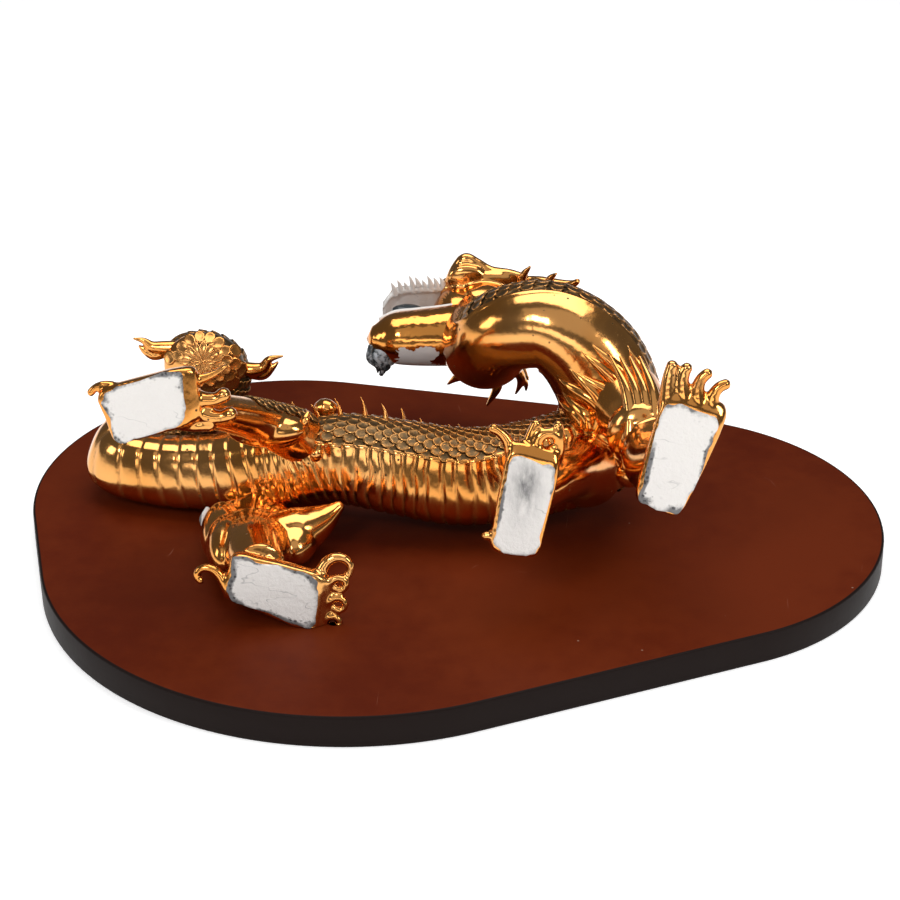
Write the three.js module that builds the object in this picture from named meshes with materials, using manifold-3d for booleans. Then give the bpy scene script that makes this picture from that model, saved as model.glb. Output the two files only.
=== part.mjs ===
import * as THREE from 'three';
import { mergeVertices } from 'three/addons/utils/BufferGeometryUtils.js';
import Module from 'manifold-3d';

const wasm = await Module();
wasm.setup();

// Millimetres, +Z up, origin at the middle of the board's underside.

// --- How finely round shapes are faceted, sides by rings ------------------------------------
const BODY_FACETS = { sides: 16, rings: 60 };
const LEG_FACETS = { sides: 10, ringsPerBone: 3 };
const JAW_FACETS = { sides: 14, rings: 12 };
const WEDGE_FACETS = { sides: 10, rings: 6 };
const HORN_FACETS = { sides: 6, rings: 8 };
const EGG_FACETS = { sides: 14, rings: 10 };
const SPIKE_SIDES = 5;

// --- Board: three discs wrapped by one tight outline ---------------------------------------
const BOARD = {
  thickness: 24,
  discs: [disc(-129, 58, 192), disc(-74, -21, 230), disc(148, 12, 173)],
  segments: 132,
  edgeRound: 1.2,
};

// --- Dragon: swept body, from the tip of the tail to the skull ------------------------------
const REST_GAP = 0.3;
const BODY = [
  station(-203, 118, 101, 5),
  station(-211, 122, 111, 12),
  station(-193, 126, 113, 15),
  station(-175, 126, 98, 17),
  station(-181, 122, 74, 19),
  station(-214, 110, 56, 22),
  station(-246, 88, 57, 24),
  station(-256, 56, 54, 26),
  station(-222, 40, 52, 26.5),
  station(-172, 32, 55, 29),
  station(-122, 22, 66, 33),
  station(-81, 12, 77, 33.5),
  station(-40, 5, 74, 35),
  station(8, 0, 69, 36),
  station(65, 12, 71, 36),
  station(105, 28, 79, 38),
  station(116, 38, 108, 39),
  station(102, 46, 145, 37),
  station(71, 54, 166, 33),
  station(38, 64, 158, 32),
  station(24, 84, 133, 31),
  station(20, 112, 128, 30),
  station(22, 140, 127, 27),
];

// --- Legs: hip, knee and ankle of each, ending in a block foot with a flat sole --------------
const SOLE_LEAN = THREE.MathUtils.degToRad(12);
const FOOT = {
  heelWidth: 31,
  toeWidth: 38,
  height: 20,
  round: 9,
  bevel: 2.5,
  toeCap: 9,
};
const CLAW = {
  baseRadius: 5,
  tipRadius: 2.6,
  setBack: 9,
  steps: 6,
  sides: 6,
};
const DEWCLAW_HEADING = THREE.MathUtils.degToRad(130);
const LEGS = [
  {
    name: 'right_rear',
    bones: [station(-112, 12, 92, 24), station(-152, -20, 130, 15), station(-182, -70, 158, 17),
      station(-204, -92, 176, 17)],
    sole: { at: point(-211, -106, 180), turn: 7, length: 62 },
    claws: { count: 3, spread: 11, shift: 0, length: 29, lean: -4, hook: 10, fan: 8 },
    dewclaw: { along: -0.42, length: 18, hook: 200 },
  },
  {
    name: 'left_rear',
    bones: [station(-137, 12, 60, 29), station(-133, -30, 60, 29), station(-146, -74, 56, 25),
      station(-139, -112, 54, 17)],
    sole: { at: point(-129, -134, 54.8), turn: -17, length: 60 },
    claws: { count: 4, spread: 9, shift: 0, length: 30, lean: 70, hook: -240, fan: 5 },
    dewclaw: { along: -0.4, length: 34, hook: 170 },
  },
  {
    name: 'left_front',
    bones: [station(97, 10, 70, 30), station(84, -38, 96, 17), station(63, -80, 108, 16),
      station(50, -105, 112, 16)],
    sole: { at: point(47, -121, 109), turn: 81, length: 66 },
    claws: { count: 4, spread: 9.5, shift: 0, length: 26, lean: 10, hook: -40, fan: 4 },
    dewclaw: { along: -0.36, length: 10, hook: 90 },
  },
  {
    name: 'right_front',
    bones: [station(124, 20, 122, 30), station(140, -28, 116, 21), station(141, -70, 116, 19),
      station(152, -98, 134, 18)],
    sole: { at: point(154, -113, 144), turn: 66, length: 72 },
    claws: { count: 4, spread: 11, shift: 2.5, length: 27, lean: 26, hook: -30, fan: 3 },
    dewclaw: null,
  },
];
const THIGH_WEDGE = [station(-134, 0, 60, 24), station(-106, -20, 60, 17), station(-83, -28, 61, 3)];
const KNOB = { at: point(126, -40, 92), radius: 9 };

// --- Head, lying on its side like the body: chin forward (-Y), crown back (+Y) ---------------
const HEAD_LEVEL = 127;
const JAW = [
  station(-65, 112, HEAD_LEVEL, 6),
  station(-60, 113, HEAD_LEVEL, 14),
  station(-48, 114, HEAD_LEVEL, 19.5),
  station(-30, 115, HEAD_LEVEL, 22),
  station(-6, 118, HEAD_LEVEL, 24),
  station(18, 124, HEAD_LEVEL, 25),
];
const SNOUT = {
  palate: 163,
  thickness: 20,
  bevel: 3,
  halfWidths: [[-55, 2], [-52, 11], [-44, 19], [-30, 21], [-6, 22], [16, 24]],
};
const CRANIUM = { at: point(24, 150, HEAD_LEVEL), size: new THREE.Vector3(31, 35, 30) };
const FIN = [station(-6, 164, 144, 5), station(3, 166, 160, 6), station(11, 166, 171, 5.5),
  station(20, 164, 168, 5.5), station(40, 160, 160, 5)];
const HORN = [station(30, 176, 142, 6.5), station(48, 176, 152, 5.5), station(70, 166, 162, 4),
  station(94, 154, 164, 1.5)];
const TEETH = { count: 8, from: -44, to: -10, root: 2, reach: 3, rise: 13, radius: 2.4, inset: 4 };
const TUFT = { at: point(-60, 106, 118), root: point(0, 3, 2), height: 18, radius: 5, spread: 6, flare: 1.4 };

// --- Spines along the back and the flame fins of the tail -----------------------------------
const SPINES = {
  first: 9.6,
  last: 14.6,
  count: 11,
  height: 14,
  root: 3,
  radius: 3.4,
  lift: THREE.MathUtils.degToRad(28),
};
const NECK_SPINES = [
  { at: point(6, 96, 108), tip: point(-8, 104, 88) },
  { at: point(32, 96, 102), tip: point(30, 92, 74) },
  { at: point(44, 88, 112), tip: point(54, 92, 84) },
];
const FLAMES = [
  [station(-218, 122, 116, 5), station(-230, 122, 116, 4.5), station(-238, 122, 122, 3),
    station(-247, 122, 124, 1)],
  [station(-164, 124, 94, 5), station(-150, 124, 92, 4.5), station(-144, 124, 101, 3),
    station(-132, 124, 104, 1)],
];

const GOLD = new THREE.MeshStandardMaterial({ color: 0xc08a3e, roughness: 0.15, metalness: 1 });
const LACQUER = new THREE.MeshStandardMaterial({ color: 0x5a2418, roughness: 0.35, metalness: 0 });

// A point in space.
function point(x, y, z) {
  return new THREE.Vector3(x, y, z);
}

// A disc of the board's outline.
function disc(x, y, radius) {
  return { middle: new THREE.Vector2(x, y), radius };
}

// A point on a swept path with the radius the sweep has there.
function station(x, y, z, radius) {
  return { at: point(x, y, z), radius };
}

// Turn a closed three.js geometry into a manifold solid.
function toSolid(geometry) {
  const bare = geometry.clone();
  bare.deleteAttribute('normal');
  bare.deleteAttribute('uv');
  const welded = mergeVertices(bare, 1e-3);
  return new wasm.Manifold(new wasm.Mesh({
    numProp: 3,
    vertProperties: new Float32Array(welded.attributes.position.array),
    triVerts: new Uint32Array(welded.index.array),
  }));
}

// Turn a manifold solid back into a three.js geometry.
function toGeometry(solid) {
  const mesh = solid.getMesh();
  const geometry = new THREE.BufferGeometry();
  geometry.setAttribute('position', new THREE.BufferAttribute(new Float32Array(mesh.vertProperties), 3));
  geometry.setIndex(new THREE.BufferAttribute(new Uint32Array(mesh.triVerts), 1));
  geometry.computeVertexNormals();
  return geometry;
}

// Frames carried along a curve without twist: centre, side and lift at every ring.
function carriedFrames(curve, rings) {
  const frames = [];
  let side = null;
  for (let ring = 0; ring <= rings; ring += 1) {
    const t = ring / rings;
    const tangent = curve.getTangent(t);
    if (side === null) {
      const helper = Math.abs(tangent.z) < 0.9 ? point(0, 0, 1) : point(0, 1, 0);
      side = new THREE.Vector3().crossVectors(helper, tangent).normalize();
    } else {
      side = side.clone().addScaledVector(tangent, -side.dot(tangent)).normalize();
    }
    const lift = new THREE.Vector3().crossVectors(tangent, side);
    frames.push({ centre: curve.getPoint(t), tangent, side, lift });
  }
  return frames;
}

// Round sweep through stations, with the radius flowing from one to the next.
function sweep(stations, { sides, rings }) {
  const curve = new THREE.CatmullRomCurve3(stations.map((s) => s.at), false, 'centripetal');
  const widths = stations.map((s, i) => point(i, s.radius, 0));
  const radii = new THREE.CatmullRomCurve3(widths, false, 'catmullrom');
  const frames = carriedFrames(curve, rings);
  const geometry = new THREE.CylinderGeometry(1, 1, 1, sides, rings, false);
  const position = geometry.attributes.position;
  for (let i = 0; i < position.count; i += 1) {
    const share = 0.5 - position.getY(i);
    const frame = frames[Math.round(share * rings)];
    const radius = radii.getPoint(share).y;
    const moved = frame.centre.clone()
      .addScaledVector(frame.side, position.getX(i) * radius)
      .addScaledVector(frame.lift, position.getZ(i) * radius);
    position.setXYZ(i, moved.x, moved.y, moved.z);
  }
  return toSolid(geometry);
}

// Egg shape round a centre.
function egg(centre, size) {
  const geometry = new THREE.SphereGeometry(1, EGG_FACETS.sides, EGG_FACETS.rings);
  geometry.scale(size.x, size.y, size.z);
  geometry.translate(centre.x, centre.y, centre.z);
  return toSolid(geometry);
}

// Cone standing on a base point with its tip at another.
function spike(base, tip, radius) {
  const axis = new THREE.Vector3().subVectors(tip, base);
  const geometry = new THREE.ConeGeometry(radius, axis.length(), SPIKE_SIDES);
  geometry.translate(0, axis.length() / 2, 0);
  geometry.applyQuaternion(new THREE.Quaternion().setFromUnitVectors(point(0, 1, 0), axis.normalize()));
  geometry.translate(base.x, base.y, base.z);
  return toSolid(geometry);
}

// Board outline: the furthest disc edge met in every direction.
function boardOutline() {
  const points = [];
  for (let i = 0; i < BOARD.segments; i += 1) {
    const angle = (i / BOARD.segments) * Math.PI * 2;
    const way = new THREE.Vector2(Math.cos(angle), Math.sin(angle));
    const reach = (d) => d.middle.dot(way) + d.radius;
    const furthest = BOARD.discs.reduce((best, d) => (reach(d) > reach(best) ? d : best));
    points.push(furthest.middle.clone().addScaledVector(way, furthest.radius));
  }
  return points;
}

// Board with eased edges, its bounding box centred on the origin.
function board() {
  const outline = boardOutline();
  const box = new THREE.Box2().setFromPoints(outline);
  const middle = box.getCenter(new THREE.Vector2());
  const shape = new THREE.Shape(outline.map((p) => p.sub(middle)));
  const geometry = new THREE.ExtrudeGeometry(shape, {
    depth: BOARD.thickness - 2 * BOARD.edgeRound,
    bevelThickness: BOARD.edgeRound,
    bevelSize: BOARD.edgeRound,
    bevelOffset: -BOARD.edgeRound,
    bevelSegments: 1,
  });
  geometry.translate(0, 0, BOARD.edgeRound);
  return toGeometry(toSolid(geometry));
}

// Axes of a foot: toes along X, across along Y, out of the sole along Z.
function footAxes(sole) {
  const turn = THREE.MathUtils.degToRad(sole.turn);
  const normal = point(0, -Math.cos(SOLE_LEAN), Math.sin(SOLE_LEAN));
  const rise = point(0, Math.sin(SOLE_LEAN), Math.cos(SOLE_LEAN));
  const toes = point(Math.cos(turn), 0, 0).addScaledVector(rise, Math.sin(turn));
  const across = new THREE.Vector3().crossVectors(normal, toes);
  return new THREE.Matrix4().makeBasis(toes, across, normal).setPosition(sole.at);
}

// Block foot: outline widening from heel to toes, flat sole outward.
function footBlock(sole) {
  const back = -sole.length / 2;
  const front = sole.length / 2 + FOOT.toeCap;
  const heel = FOOT.heelWidth / 2;
  const toe = FOOT.toeWidth / 2;
  const shape = new THREE.Shape();
  shape.moveTo(back + FOOT.round, -heel);
  shape.lineTo(front - FOOT.round, -toe);
  shape.quadraticCurveTo(front, -toe, front, -toe + FOOT.round);
  shape.lineTo(front, toe - FOOT.round);
  shape.quadraticCurveTo(front, toe, front - FOOT.round, toe);
  shape.lineTo(back + FOOT.round, heel);
  shape.quadraticCurveTo(back, heel, back, heel - FOOT.round);
  shape.lineTo(back, -heel + FOOT.round);
  shape.quadraticCurveTo(back, -heel, back + FOOT.round, -heel);
  const geometry = new THREE.ExtrudeGeometry(shape, {
    depth: FOOT.height - 2 * FOOT.bevel,
    bevelThickness: FOOT.bevel,
    bevelSize: FOOT.bevel,
    bevelOffset: -FOOT.bevel,
    bevelSegments: 1,
    curveSegments: 4,
  });
  geometry.translate(0, 0, FOOT.bevel - FOOT.height);
  geometry.applyMatrix4(footAxes(sole));
  return toSolid(geometry);
}

// Claw leaving the foot and bending over by its hook angle, thinning towards the tip.
function claw(axes, start, heading, length, hook) {
  const stations = [];
  const at = start.clone();
  for (let i = 0; i <= CLAW.steps; i += 1) {
    const share = i / CLAW.steps;
    const radius = THREE.MathUtils.lerp(CLAW.baseRadius, CLAW.tipRadius, share);
    stations.push({ at: at.clone().applyMatrix4(axes), radius });
    const bend = heading + THREE.MathUtils.degToRad(hook) * share * share;
    at.x += (Math.cos(bend) * length) / CLAW.steps;
    at.y += (Math.sin(bend) * length) / CLAW.steps;
  }
  return sweep(stations, { sides: CLAW.sides, rings: CLAW.steps });
}

// All the claws of one foot.
function claws(leg) {
  const axes = footAxes(leg.sole);
  const front = leg.sole.length / 2 + FOOT.toeCap - CLAW.baseRadius;
  const solids = [];
  for (let i = 0; i < leg.claws.count; i += 1) {
    const place = i - (leg.claws.count - 1) / 2;
    const start = point(front, leg.claws.shift + place * leg.claws.spread, -CLAW.setBack);
    const heading = THREE.MathUtils.degToRad(leg.claws.lean + place * leg.claws.fan);
    solids.push(claw(axes, start, heading, leg.claws.length, leg.claws.hook));
  }
  if (leg.dewclaw !== null) {
    const start = point(leg.dewclaw.along * leg.sole.length, FOOT.heelWidth / 4, -CLAW.setBack);
    solids.push(claw(axes, start, DEWCLAW_HEADING, leg.dewclaw.length, leg.dewclaw.hook));
  }
  return solids;
}

// Leg, foot and claws.
function legSolids(leg) {
  const rings = leg.bones.length * LEG_FACETS.ringsPerBone;
  return [sweep(leg.bones, { sides: LEG_FACETS.sides, rings }), footBlock(leg.sole), ...claws(leg)];
}

// Upper jaw: a pointed outline seen from the crown, given its thickness.
function snout() {
  const near = SNOUT.halfWidths.map(([x, w]) => new THREE.Vector2(x, HEAD_LEVEL - w));
  const far = SNOUT.halfWidths.map(([x, w]) => new THREE.Vector2(x, HEAD_LEVEL + w)).reverse();
  const geometry = new THREE.ExtrudeGeometry(new THREE.Shape([...near, ...far]), {
    depth: SNOUT.thickness - 2 * SNOUT.bevel,
    bevelThickness: SNOUT.bevel,
    bevelSize: SNOUT.bevel,
    bevelOffset: -SNOUT.bevel,
    bevelSegments: 1,
  });
  geometry.rotateX(Math.PI / 2);
  geometry.translate(0, SNOUT.palate + SNOUT.thickness - SNOUT.bevel, 0);
  return toSolid(geometry);
}

// A point seen in a mirror lying level through the middle of the head.
function mirroredPoint(p) {
  return point(p.x, p.y, 2 * HEAD_LEVEL - p.z);
}

// The same stations on both sides of the head.
function bothSides(stations) {
  return [stations, stations.map((s) => ({ at: mirroredPoint(s.at), radius: s.radius }))];
}

// Half the snout's width at a place along it.
function snoutHalfWidth(x) {
  const next = SNOUT.halfWidths.findIndex(([at]) => at >= x);
  const [x0, w0] = SNOUT.halfWidths[next - 1];
  const [x1, w1] = SNOUT.halfWidths[next];
  return THREE.MathUtils.mapLinear(x, x0, x1, w0, w1);
}

// Jaws, skull, cheek fins, horns, teeth and chin tuft.
function headSolids() {
  const solids = [sweep(JAW, JAW_FACETS), snout(), egg(CRANIUM.at, CRANIUM.size)];
  for (const stations of bothSides(FIN)) {
    solids.push(sweep(stations, HORN_FACETS));
  }
  for (const stations of bothSides(HORN)) {
    solids.push(sweep(stations, HORN_FACETS));
  }
  for (let i = 0; i < TEETH.count; i += 1) {
    const x = THREE.MathUtils.lerp(TEETH.from, TEETH.to, i / (TEETH.count - 1));
    const edge = HEAD_LEVEL + snoutHalfWidth(x) - TEETH.inset;
    const base = point(x, SNOUT.palate + TEETH.root, edge);
    const tip = point(x, SNOUT.palate - TEETH.reach, edge + TEETH.rise);
    solids.push(spike(base, tip, TEETH.radius));
    solids.push(spike(mirroredPoint(base), mirroredPoint(tip), TEETH.radius));
  }
  for (let i = -1; i <= 1; i += 1) {
    const base = TUFT.at.clone().add(TUFT.root).add(point(i * TUFT.spread, 0, 0));
    const tip = TUFT.at.clone().add(point(i * TUFT.spread * TUFT.flare, 0, -TUFT.height));
    solids.push(spike(base, tip, TUFT.radius));
  }
  return solids;
}

// Spines along the back between two stations of the body, and those under the neck's bend.
function spineSolids() {
  const curve = new THREE.CatmullRomCurve3(BODY.map((s) => s.at), false, 'centripetal');
  const solids = [];
  for (let i = 0; i < SPINES.count; i += 1) {
    const place = THREE.MathUtils.lerp(SPINES.first, SPINES.last, i / (SPINES.count - 1));
    const share = place / (BODY.length - 1);
    const radius = BODY[Math.round(place)].radius;
    const away = point(0, Math.cos(SPINES.lift), Math.sin(SPINES.lift));
    const centre = curve.getPoint(share);
    const base = centre.clone().addScaledVector(away, radius - SPINES.root);
    solids.push(spike(base, centre.addScaledVector(away, radius + SPINES.height), SPINES.radius));
  }
  for (const spine of NECK_SPINES) {
    solids.push(spike(spine.at, spine.tip, SPINES.radius));
  }
  return solids;
}

// The whole dragon as one solid, lifted just clear of the board.
function dragon() {
  const parts = [
    ...LEGS.flatMap(legSolids),
    sweep(THIGH_WEDGE, WEDGE_FACETS),
    egg(KNOB.at, new THREE.Vector3().setScalar(KNOB.radius)),
    ...headSolids(),
    ...spineSolids(),
    ...FLAMES.map((stations) => sweep(stations, HORN_FACETS)),
  ];
  let whole = sweep(BODY, BODY_FACETS);
  for (const part of parts) {
    whole = whole.add(part);
  }
  const lowest = whole.boundingBox().min[2];
  return toGeometry(whole.translate([0, 0, BOARD.thickness + REST_GAP - lowest]));
}

// One named part of the sculpture.
function named(name, geometry, material) {
  const mesh = new THREE.Mesh(geometry, material);
  mesh.name = name;
  return mesh;
}

const sculpture = new THREE.Group();
sculpture.name = 'dragon_on_board';
sculpture.add(named('board', board(), LACQUER));
sculpture.add(named('dragon', dragon(), GOLD));

export default sculpture;
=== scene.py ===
import logging
import math
from dataclasses import dataclass, field
from enum import Enum
from typing import Callable, Optional, Sequence

import bmesh
import bpy
import numpy as np
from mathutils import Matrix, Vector


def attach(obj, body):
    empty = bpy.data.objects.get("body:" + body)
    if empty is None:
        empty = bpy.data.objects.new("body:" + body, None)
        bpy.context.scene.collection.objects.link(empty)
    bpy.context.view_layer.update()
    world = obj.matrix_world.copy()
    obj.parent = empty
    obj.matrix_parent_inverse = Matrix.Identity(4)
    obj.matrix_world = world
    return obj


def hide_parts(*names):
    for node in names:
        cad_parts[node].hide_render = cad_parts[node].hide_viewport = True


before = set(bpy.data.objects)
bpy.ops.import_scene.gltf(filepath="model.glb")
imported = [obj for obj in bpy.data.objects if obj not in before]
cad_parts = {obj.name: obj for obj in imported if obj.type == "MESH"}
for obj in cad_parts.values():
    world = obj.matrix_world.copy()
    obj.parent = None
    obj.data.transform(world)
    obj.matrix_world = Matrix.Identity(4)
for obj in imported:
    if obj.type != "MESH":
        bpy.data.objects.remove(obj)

log = logging.getLogger("dragon")

# Metres in a millimetre.
MM = 0.001
# Height at which the dragon touches the board: the board's top and a hair of air, in millimetres.
REST_HEIGHT = 24.3
# Keeps a vector without length from being divided by nothing.
TINY = 1e-9
# Corners closer together than this are one corner, in metres.
SAME_CORNER = 1e-7
# How far the closed end of a tube bulges, as a share of its radius.
END_BULGE = 0.45

Vec = np.ndarray
Colour = tuple[float, float, float]


# --------------------------------------------------------------------------- plain vector sums


def vec(x: float, y: float, z: float) -> Vec:
    """A point or a way in millimetres: along the board, away from the soles, up."""
    return np.array([x, y, z], dtype=float)


def unit(v: Vec) -> Vec:
    """The same way with length one, for one vector or for rows of them."""
    return v / np.maximum(np.linalg.norm(v, axis=-1, keepdims=True), TINY)


def smooth(edge0: float, edge1: float, x: Vec) -> Vec:
    """A soft step from 0 at edge0 to 1 at edge1."""
    t = np.clip((x - edge0) / (edge1 - edge0), 0.0, 1.0)
    return t * t * (3.0 - 2.0 * t)


def wave_noise(p: Vec, size: float, seed: int, waves: int = 6) -> Vec:
    """Soft lumps over space, made of a few crossing waves.

    Args:
        p: rows of points, in millimetres.
        size: rough width of a lump.
        seed: picks the waves.
        waves: how many cross.

    Returns:
        One number from about -1 to 1 for each point.
    """
    rng = np.random.default_rng(seed)
    total = np.zeros(p.shape[:-1])
    for _ in range(waves):
        way = unit(rng.normal(size=3)) * (2.0 * math.pi / size) * rng.uniform(0.6, 1.5)
        total = total + np.sin(p @ way + rng.uniform(0.0, 6.3))
    return total / (waves / 2.0)


def rounded_path(points: Vec, per_piece: int) -> Vec:
    """A curve through points, with knots spaced by the root of the distance between them.

    Args:
        points: rows of points.
        per_piece: samples between each two.

    Returns:
        Rows of points along the curve, both ends included.
    """
    ends = np.vstack([2 * points[0] - points[1], points, 2 * points[-1] - points[-2]])
    rows = []
    for i in range(1, len(ends) - 2):
        p0, p1, p2, p3 = ends[i - 1:i + 3]
        k0 = 0.0
        k1 = k0 + math.sqrt(np.linalg.norm(p1 - p0))
        k2 = k1 + math.sqrt(np.linalg.norm(p2 - p1))
        k3 = k2 + math.sqrt(np.linalg.norm(p3 - p2))
        for t in k1 + (k2 - k1) * np.arange(per_piece) / per_piece:
            a1 = ((k1 - t) * p0 + (t - k0) * p1) / (k1 - k0)
            a2 = ((k2 - t) * p1 + (t - k1) * p2) / (k2 - k1)
            a3 = ((k3 - t) * p2 + (t - k2) * p3) / (k3 - k2)
            b1 = ((k2 - t) * a1 + (t - k0) * a2) / (k2 - k0)
            b2 = ((k3 - t) * a2 + (t - k1) * a3) / (k3 - k1)
            rows.append(((k2 - t) * b1 + (t - k1) * b2) / (k2 - k1))
    rows.append(points[-1])
    return np.array(rows)


def soften(rows: Vec, reach: int) -> Vec:
    """Rows averaged with their neighbours, ends kept.

    Args:
        rows: values along a path.
        reach: how many rows each side count.

    Returns:
        The smoothed rows.
    """
    if reach < 1:
        return rows
    flat = rows.reshape(len(rows), -1)
    padded = np.vstack([np.repeat(flat[:1], reach, 0), flat, np.repeat(flat[-1:], reach, 0)])
    kernel = np.hanning(2 * reach + 3)[1:-1]
    kernel = kernel / kernel.sum()
    out = np.stack([np.convolve(padded[:, i], kernel, mode="valid") for i in range(flat.shape[1])], axis=1)
    return out.reshape(rows.shape)


@dataclass(frozen=True)
class Lumps:
    """Unevenness over space: the width of its lumps, the seed that picks them and their height."""

    size: float
    seed: int
    height: float

    def at(self, place: Vec) -> Vec:
        """Its height at rows of points."""
        return wave_noise(place, self.size, self.seed) * self.height


# --------------------------------------------------------------------------- node building


def feed(tree: bpy.types.NodeTree, socket: bpy.types.NodeSocket, value: object) -> None:
    """Links an input to an output or sets its constant.

    Args:
        tree: the node tree.
        socket: the input.
        value: a Sock, an output socket, a number, a name or a colour.
    """
    if isinstance(value, Sock):
        tree.links.new(value.out, socket)
    elif isinstance(value, bpy.types.NodeSocket):
        tree.links.new(value, socket)
    elif isinstance(value, tuple) and socket.type == "RGBA":
        socket.default_value = (*value, 1.0)
    else:
        socket.default_value = value


def wired(
    tree: bpy.types.NodeTree,
    kind: str,
    inputs: dict[object, object],
    **settings: object,
) -> bpy.types.Node:
    """One node, its settings first and then its sockets.

    Args:
        tree: the node tree.
        kind: the node type.
        inputs: what each socket is fed, by its name or its place.
        settings: properties of the node.

    Returns:
        The node.
    """
    node = tree.nodes.new(kind)
    for key, value in settings.items():
        setattr(node, key, value)
    for key, value in inputs.items():
        feed(tree, node.inputs[key], value)
    return node


class Sock:
    """A shader output that can be added, scaled and mixed like a number."""

    def __init__(self, tree: bpy.types.NodeTree, out: bpy.types.NodeSocket) -> None:
        """Wraps one output of a tree."""
        self.tree = tree
        self.out = out

    def _math(self, kind: str, *values: object) -> "Sock":
        """One Math node of this kind, fed with these sockets or numbers."""
        node = wired(self.tree, "ShaderNodeMath", dict(enumerate(values)), operation=kind)
        return Sock(self.tree, node.outputs[0])

    def __add__(self, other: object) -> "Sock":
        """Sum."""
        return self._math("ADD", self, other)

    __radd__ = __add__

    def __mul__(self, other: object) -> "Sock":
        """Product."""
        return self._math("MULTIPLY", self, other)

    __rmul__ = __mul__

    def __sub__(self, other: object) -> "Sock":
        """Difference."""
        return self._math("SUBTRACT", self, other)

    def __rsub__(self, other: object) -> "Sock":
        """Difference the other way round."""
        return self._math("SUBTRACT", other, self)

    def absolute(self) -> "Sock":
        """Size without sign."""
        return self._math("ABSOLUTE", self)

    def most(self, other: object) -> "Sock":
        """The larger of two."""
        return self._math("MAXIMUM", self, other)

    def least(self, other: object) -> "Sock":
        """The smaller of two."""
        return self._math("MINIMUM", self, other)

    def step(self, low: float, high: float) -> "Sock":
        """A soft step over the value.

        Args:
            low: 0 at and below here.
            high: 1 at and above here.

        Returns:
            A number from 0 to 1.
        """
        inputs = {"Value": self, "From Min": low, "From Max": high}
        node = wired(self.tree, "ShaderNodeMapRange", inputs, interpolation_type="SMOOTHSTEP")
        return Sock(self.tree, node.outputs["Result"])


@dataclass(frozen=True)
class Grain:
    """A soft pattern: lumps per metre, finer layers, their strength, and how each axis is stretched.

    The band is where it is cut when it marks patches: nothing below its first value, all above its last.
    """

    scale: float
    detail: float = 3.0
    rough: float = 0.5
    stretch: Colour = (1.0, 1.0, 1.0)
    band: tuple[float, float] = (0.0, 1.0)


@dataclass(frozen=True)
class Dots:
    """Scattered dots: how many per metre, and the radii between which each fades, in their spacing."""

    scale: float
    inner: float
    outer: float


class Shader:
    """Builds one material's node tree."""

    def __init__(self, name: str) -> None:
        """Starts an empty material with its surface shader.

        Args:
            name: the material's name.
        """
        self.material = bpy.data.materials.new(name)
        self.material.use_nodes = True
        self.tree = self.material.node_tree
        self.tree.nodes.clear()
        self.surface = wired(self.tree, "ShaderNodeBsdfPrincipled", {})
        wired(self.tree, "ShaderNodeOutputMaterial", {"Surface": self.surface.outputs[0]})

    def _sock(self, output: object, kind: str, inputs: dict[object, object], **settings: object) -> Sock:
        """One output of a new node."""
        node = wired(self.tree, kind, inputs, **settings)
        return Sock(self.tree, node.outputs[output])

    def place(self) -> Sock:
        """The object's own coordinates, in metres."""
        return self._sock("Object", "ShaderNodeTexCoord", {})

    def attribute(self, name: str) -> Sock:
        """A number stored on the mesh under this name."""
        return self._sock("Fac", "ShaderNodeAttribute", {}, attribute_name=name)

    def noise(self, grain: Grain) -> Sock:
        """A soft pattern over the object.

        Args:
            grain: the pattern.

        Returns:
            A number round 0.5.
        """
        place = {0: self.place(), 1: grain.stretch}
        vector = self._sock(0, "ShaderNodeVectorMath", place, operation="MULTIPLY")
        inputs = {"Vector": vector, "Scale": grain.scale, "Detail": grain.detail, "Roughness": grain.rough}
        return self._sock("Fac", "ShaderNodeTexNoise", inputs)

    def patches(self, grain: Grain) -> Sock:
        """A soft pattern cut at its band, from 0 to 1."""
        return self.noise(grain).step(*grain.band)

    def hairlines(self, grain: Grain, thinness: float) -> Sock:
        """Lines where a pattern passes its middle, 1 on the line; the thinner, the larger the number."""
        return (1.0 - (self.noise(grain) - 0.5).absolute() * thinness).most(0.0)

    def dots(self, dots: Dots) -> Sock:
        """Scattered dots, 1 in each middle.

        Args:
            dots: their sizes.

        Returns:
            A number from 0 to 1.
        """
        inputs = {"Vector": self.place(), "Scale": dots.scale}
        far = self._sock("Distance", "ShaderNodeTexVoronoi", inputs)
        return 1.0 - far.step(dots.inner, dots.outer)

    def mix(self, share: object, a: object, b: object) -> Sock:
        """Colour a turning into colour b as the share goes from 0 to 1."""
        return self._sock(2, "ShaderNodeMix", {0: share, 6: a, 7: b}, data_type="RGBA", clamp_factor=True)

    def bump(self, height: Sock, depth: float) -> None:
        """Lets a height from 0 to 1 raise the surface's shading by up to this depth, in metres."""
        node = wired(self.tree, "ShaderNodeBump", {"Strength": 1.0, "Distance": depth, "Height": height})
        self.tree.links.new(node.outputs[0], self.surface.inputs["Normal"])

    def dressed(self, **inputs: object) -> bpy.types.Material:
        """Sets the surface shader's inputs.

        Args:
            inputs: values by input name, with _ for a space.

        Returns:
            The finished material.
        """
        for key, value in inputs.items():
            feed(self.tree, self.surface.inputs[key.replace("_", " ")], value)
        return self.material


# --------------------------------------------------------------------------- finishes


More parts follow.
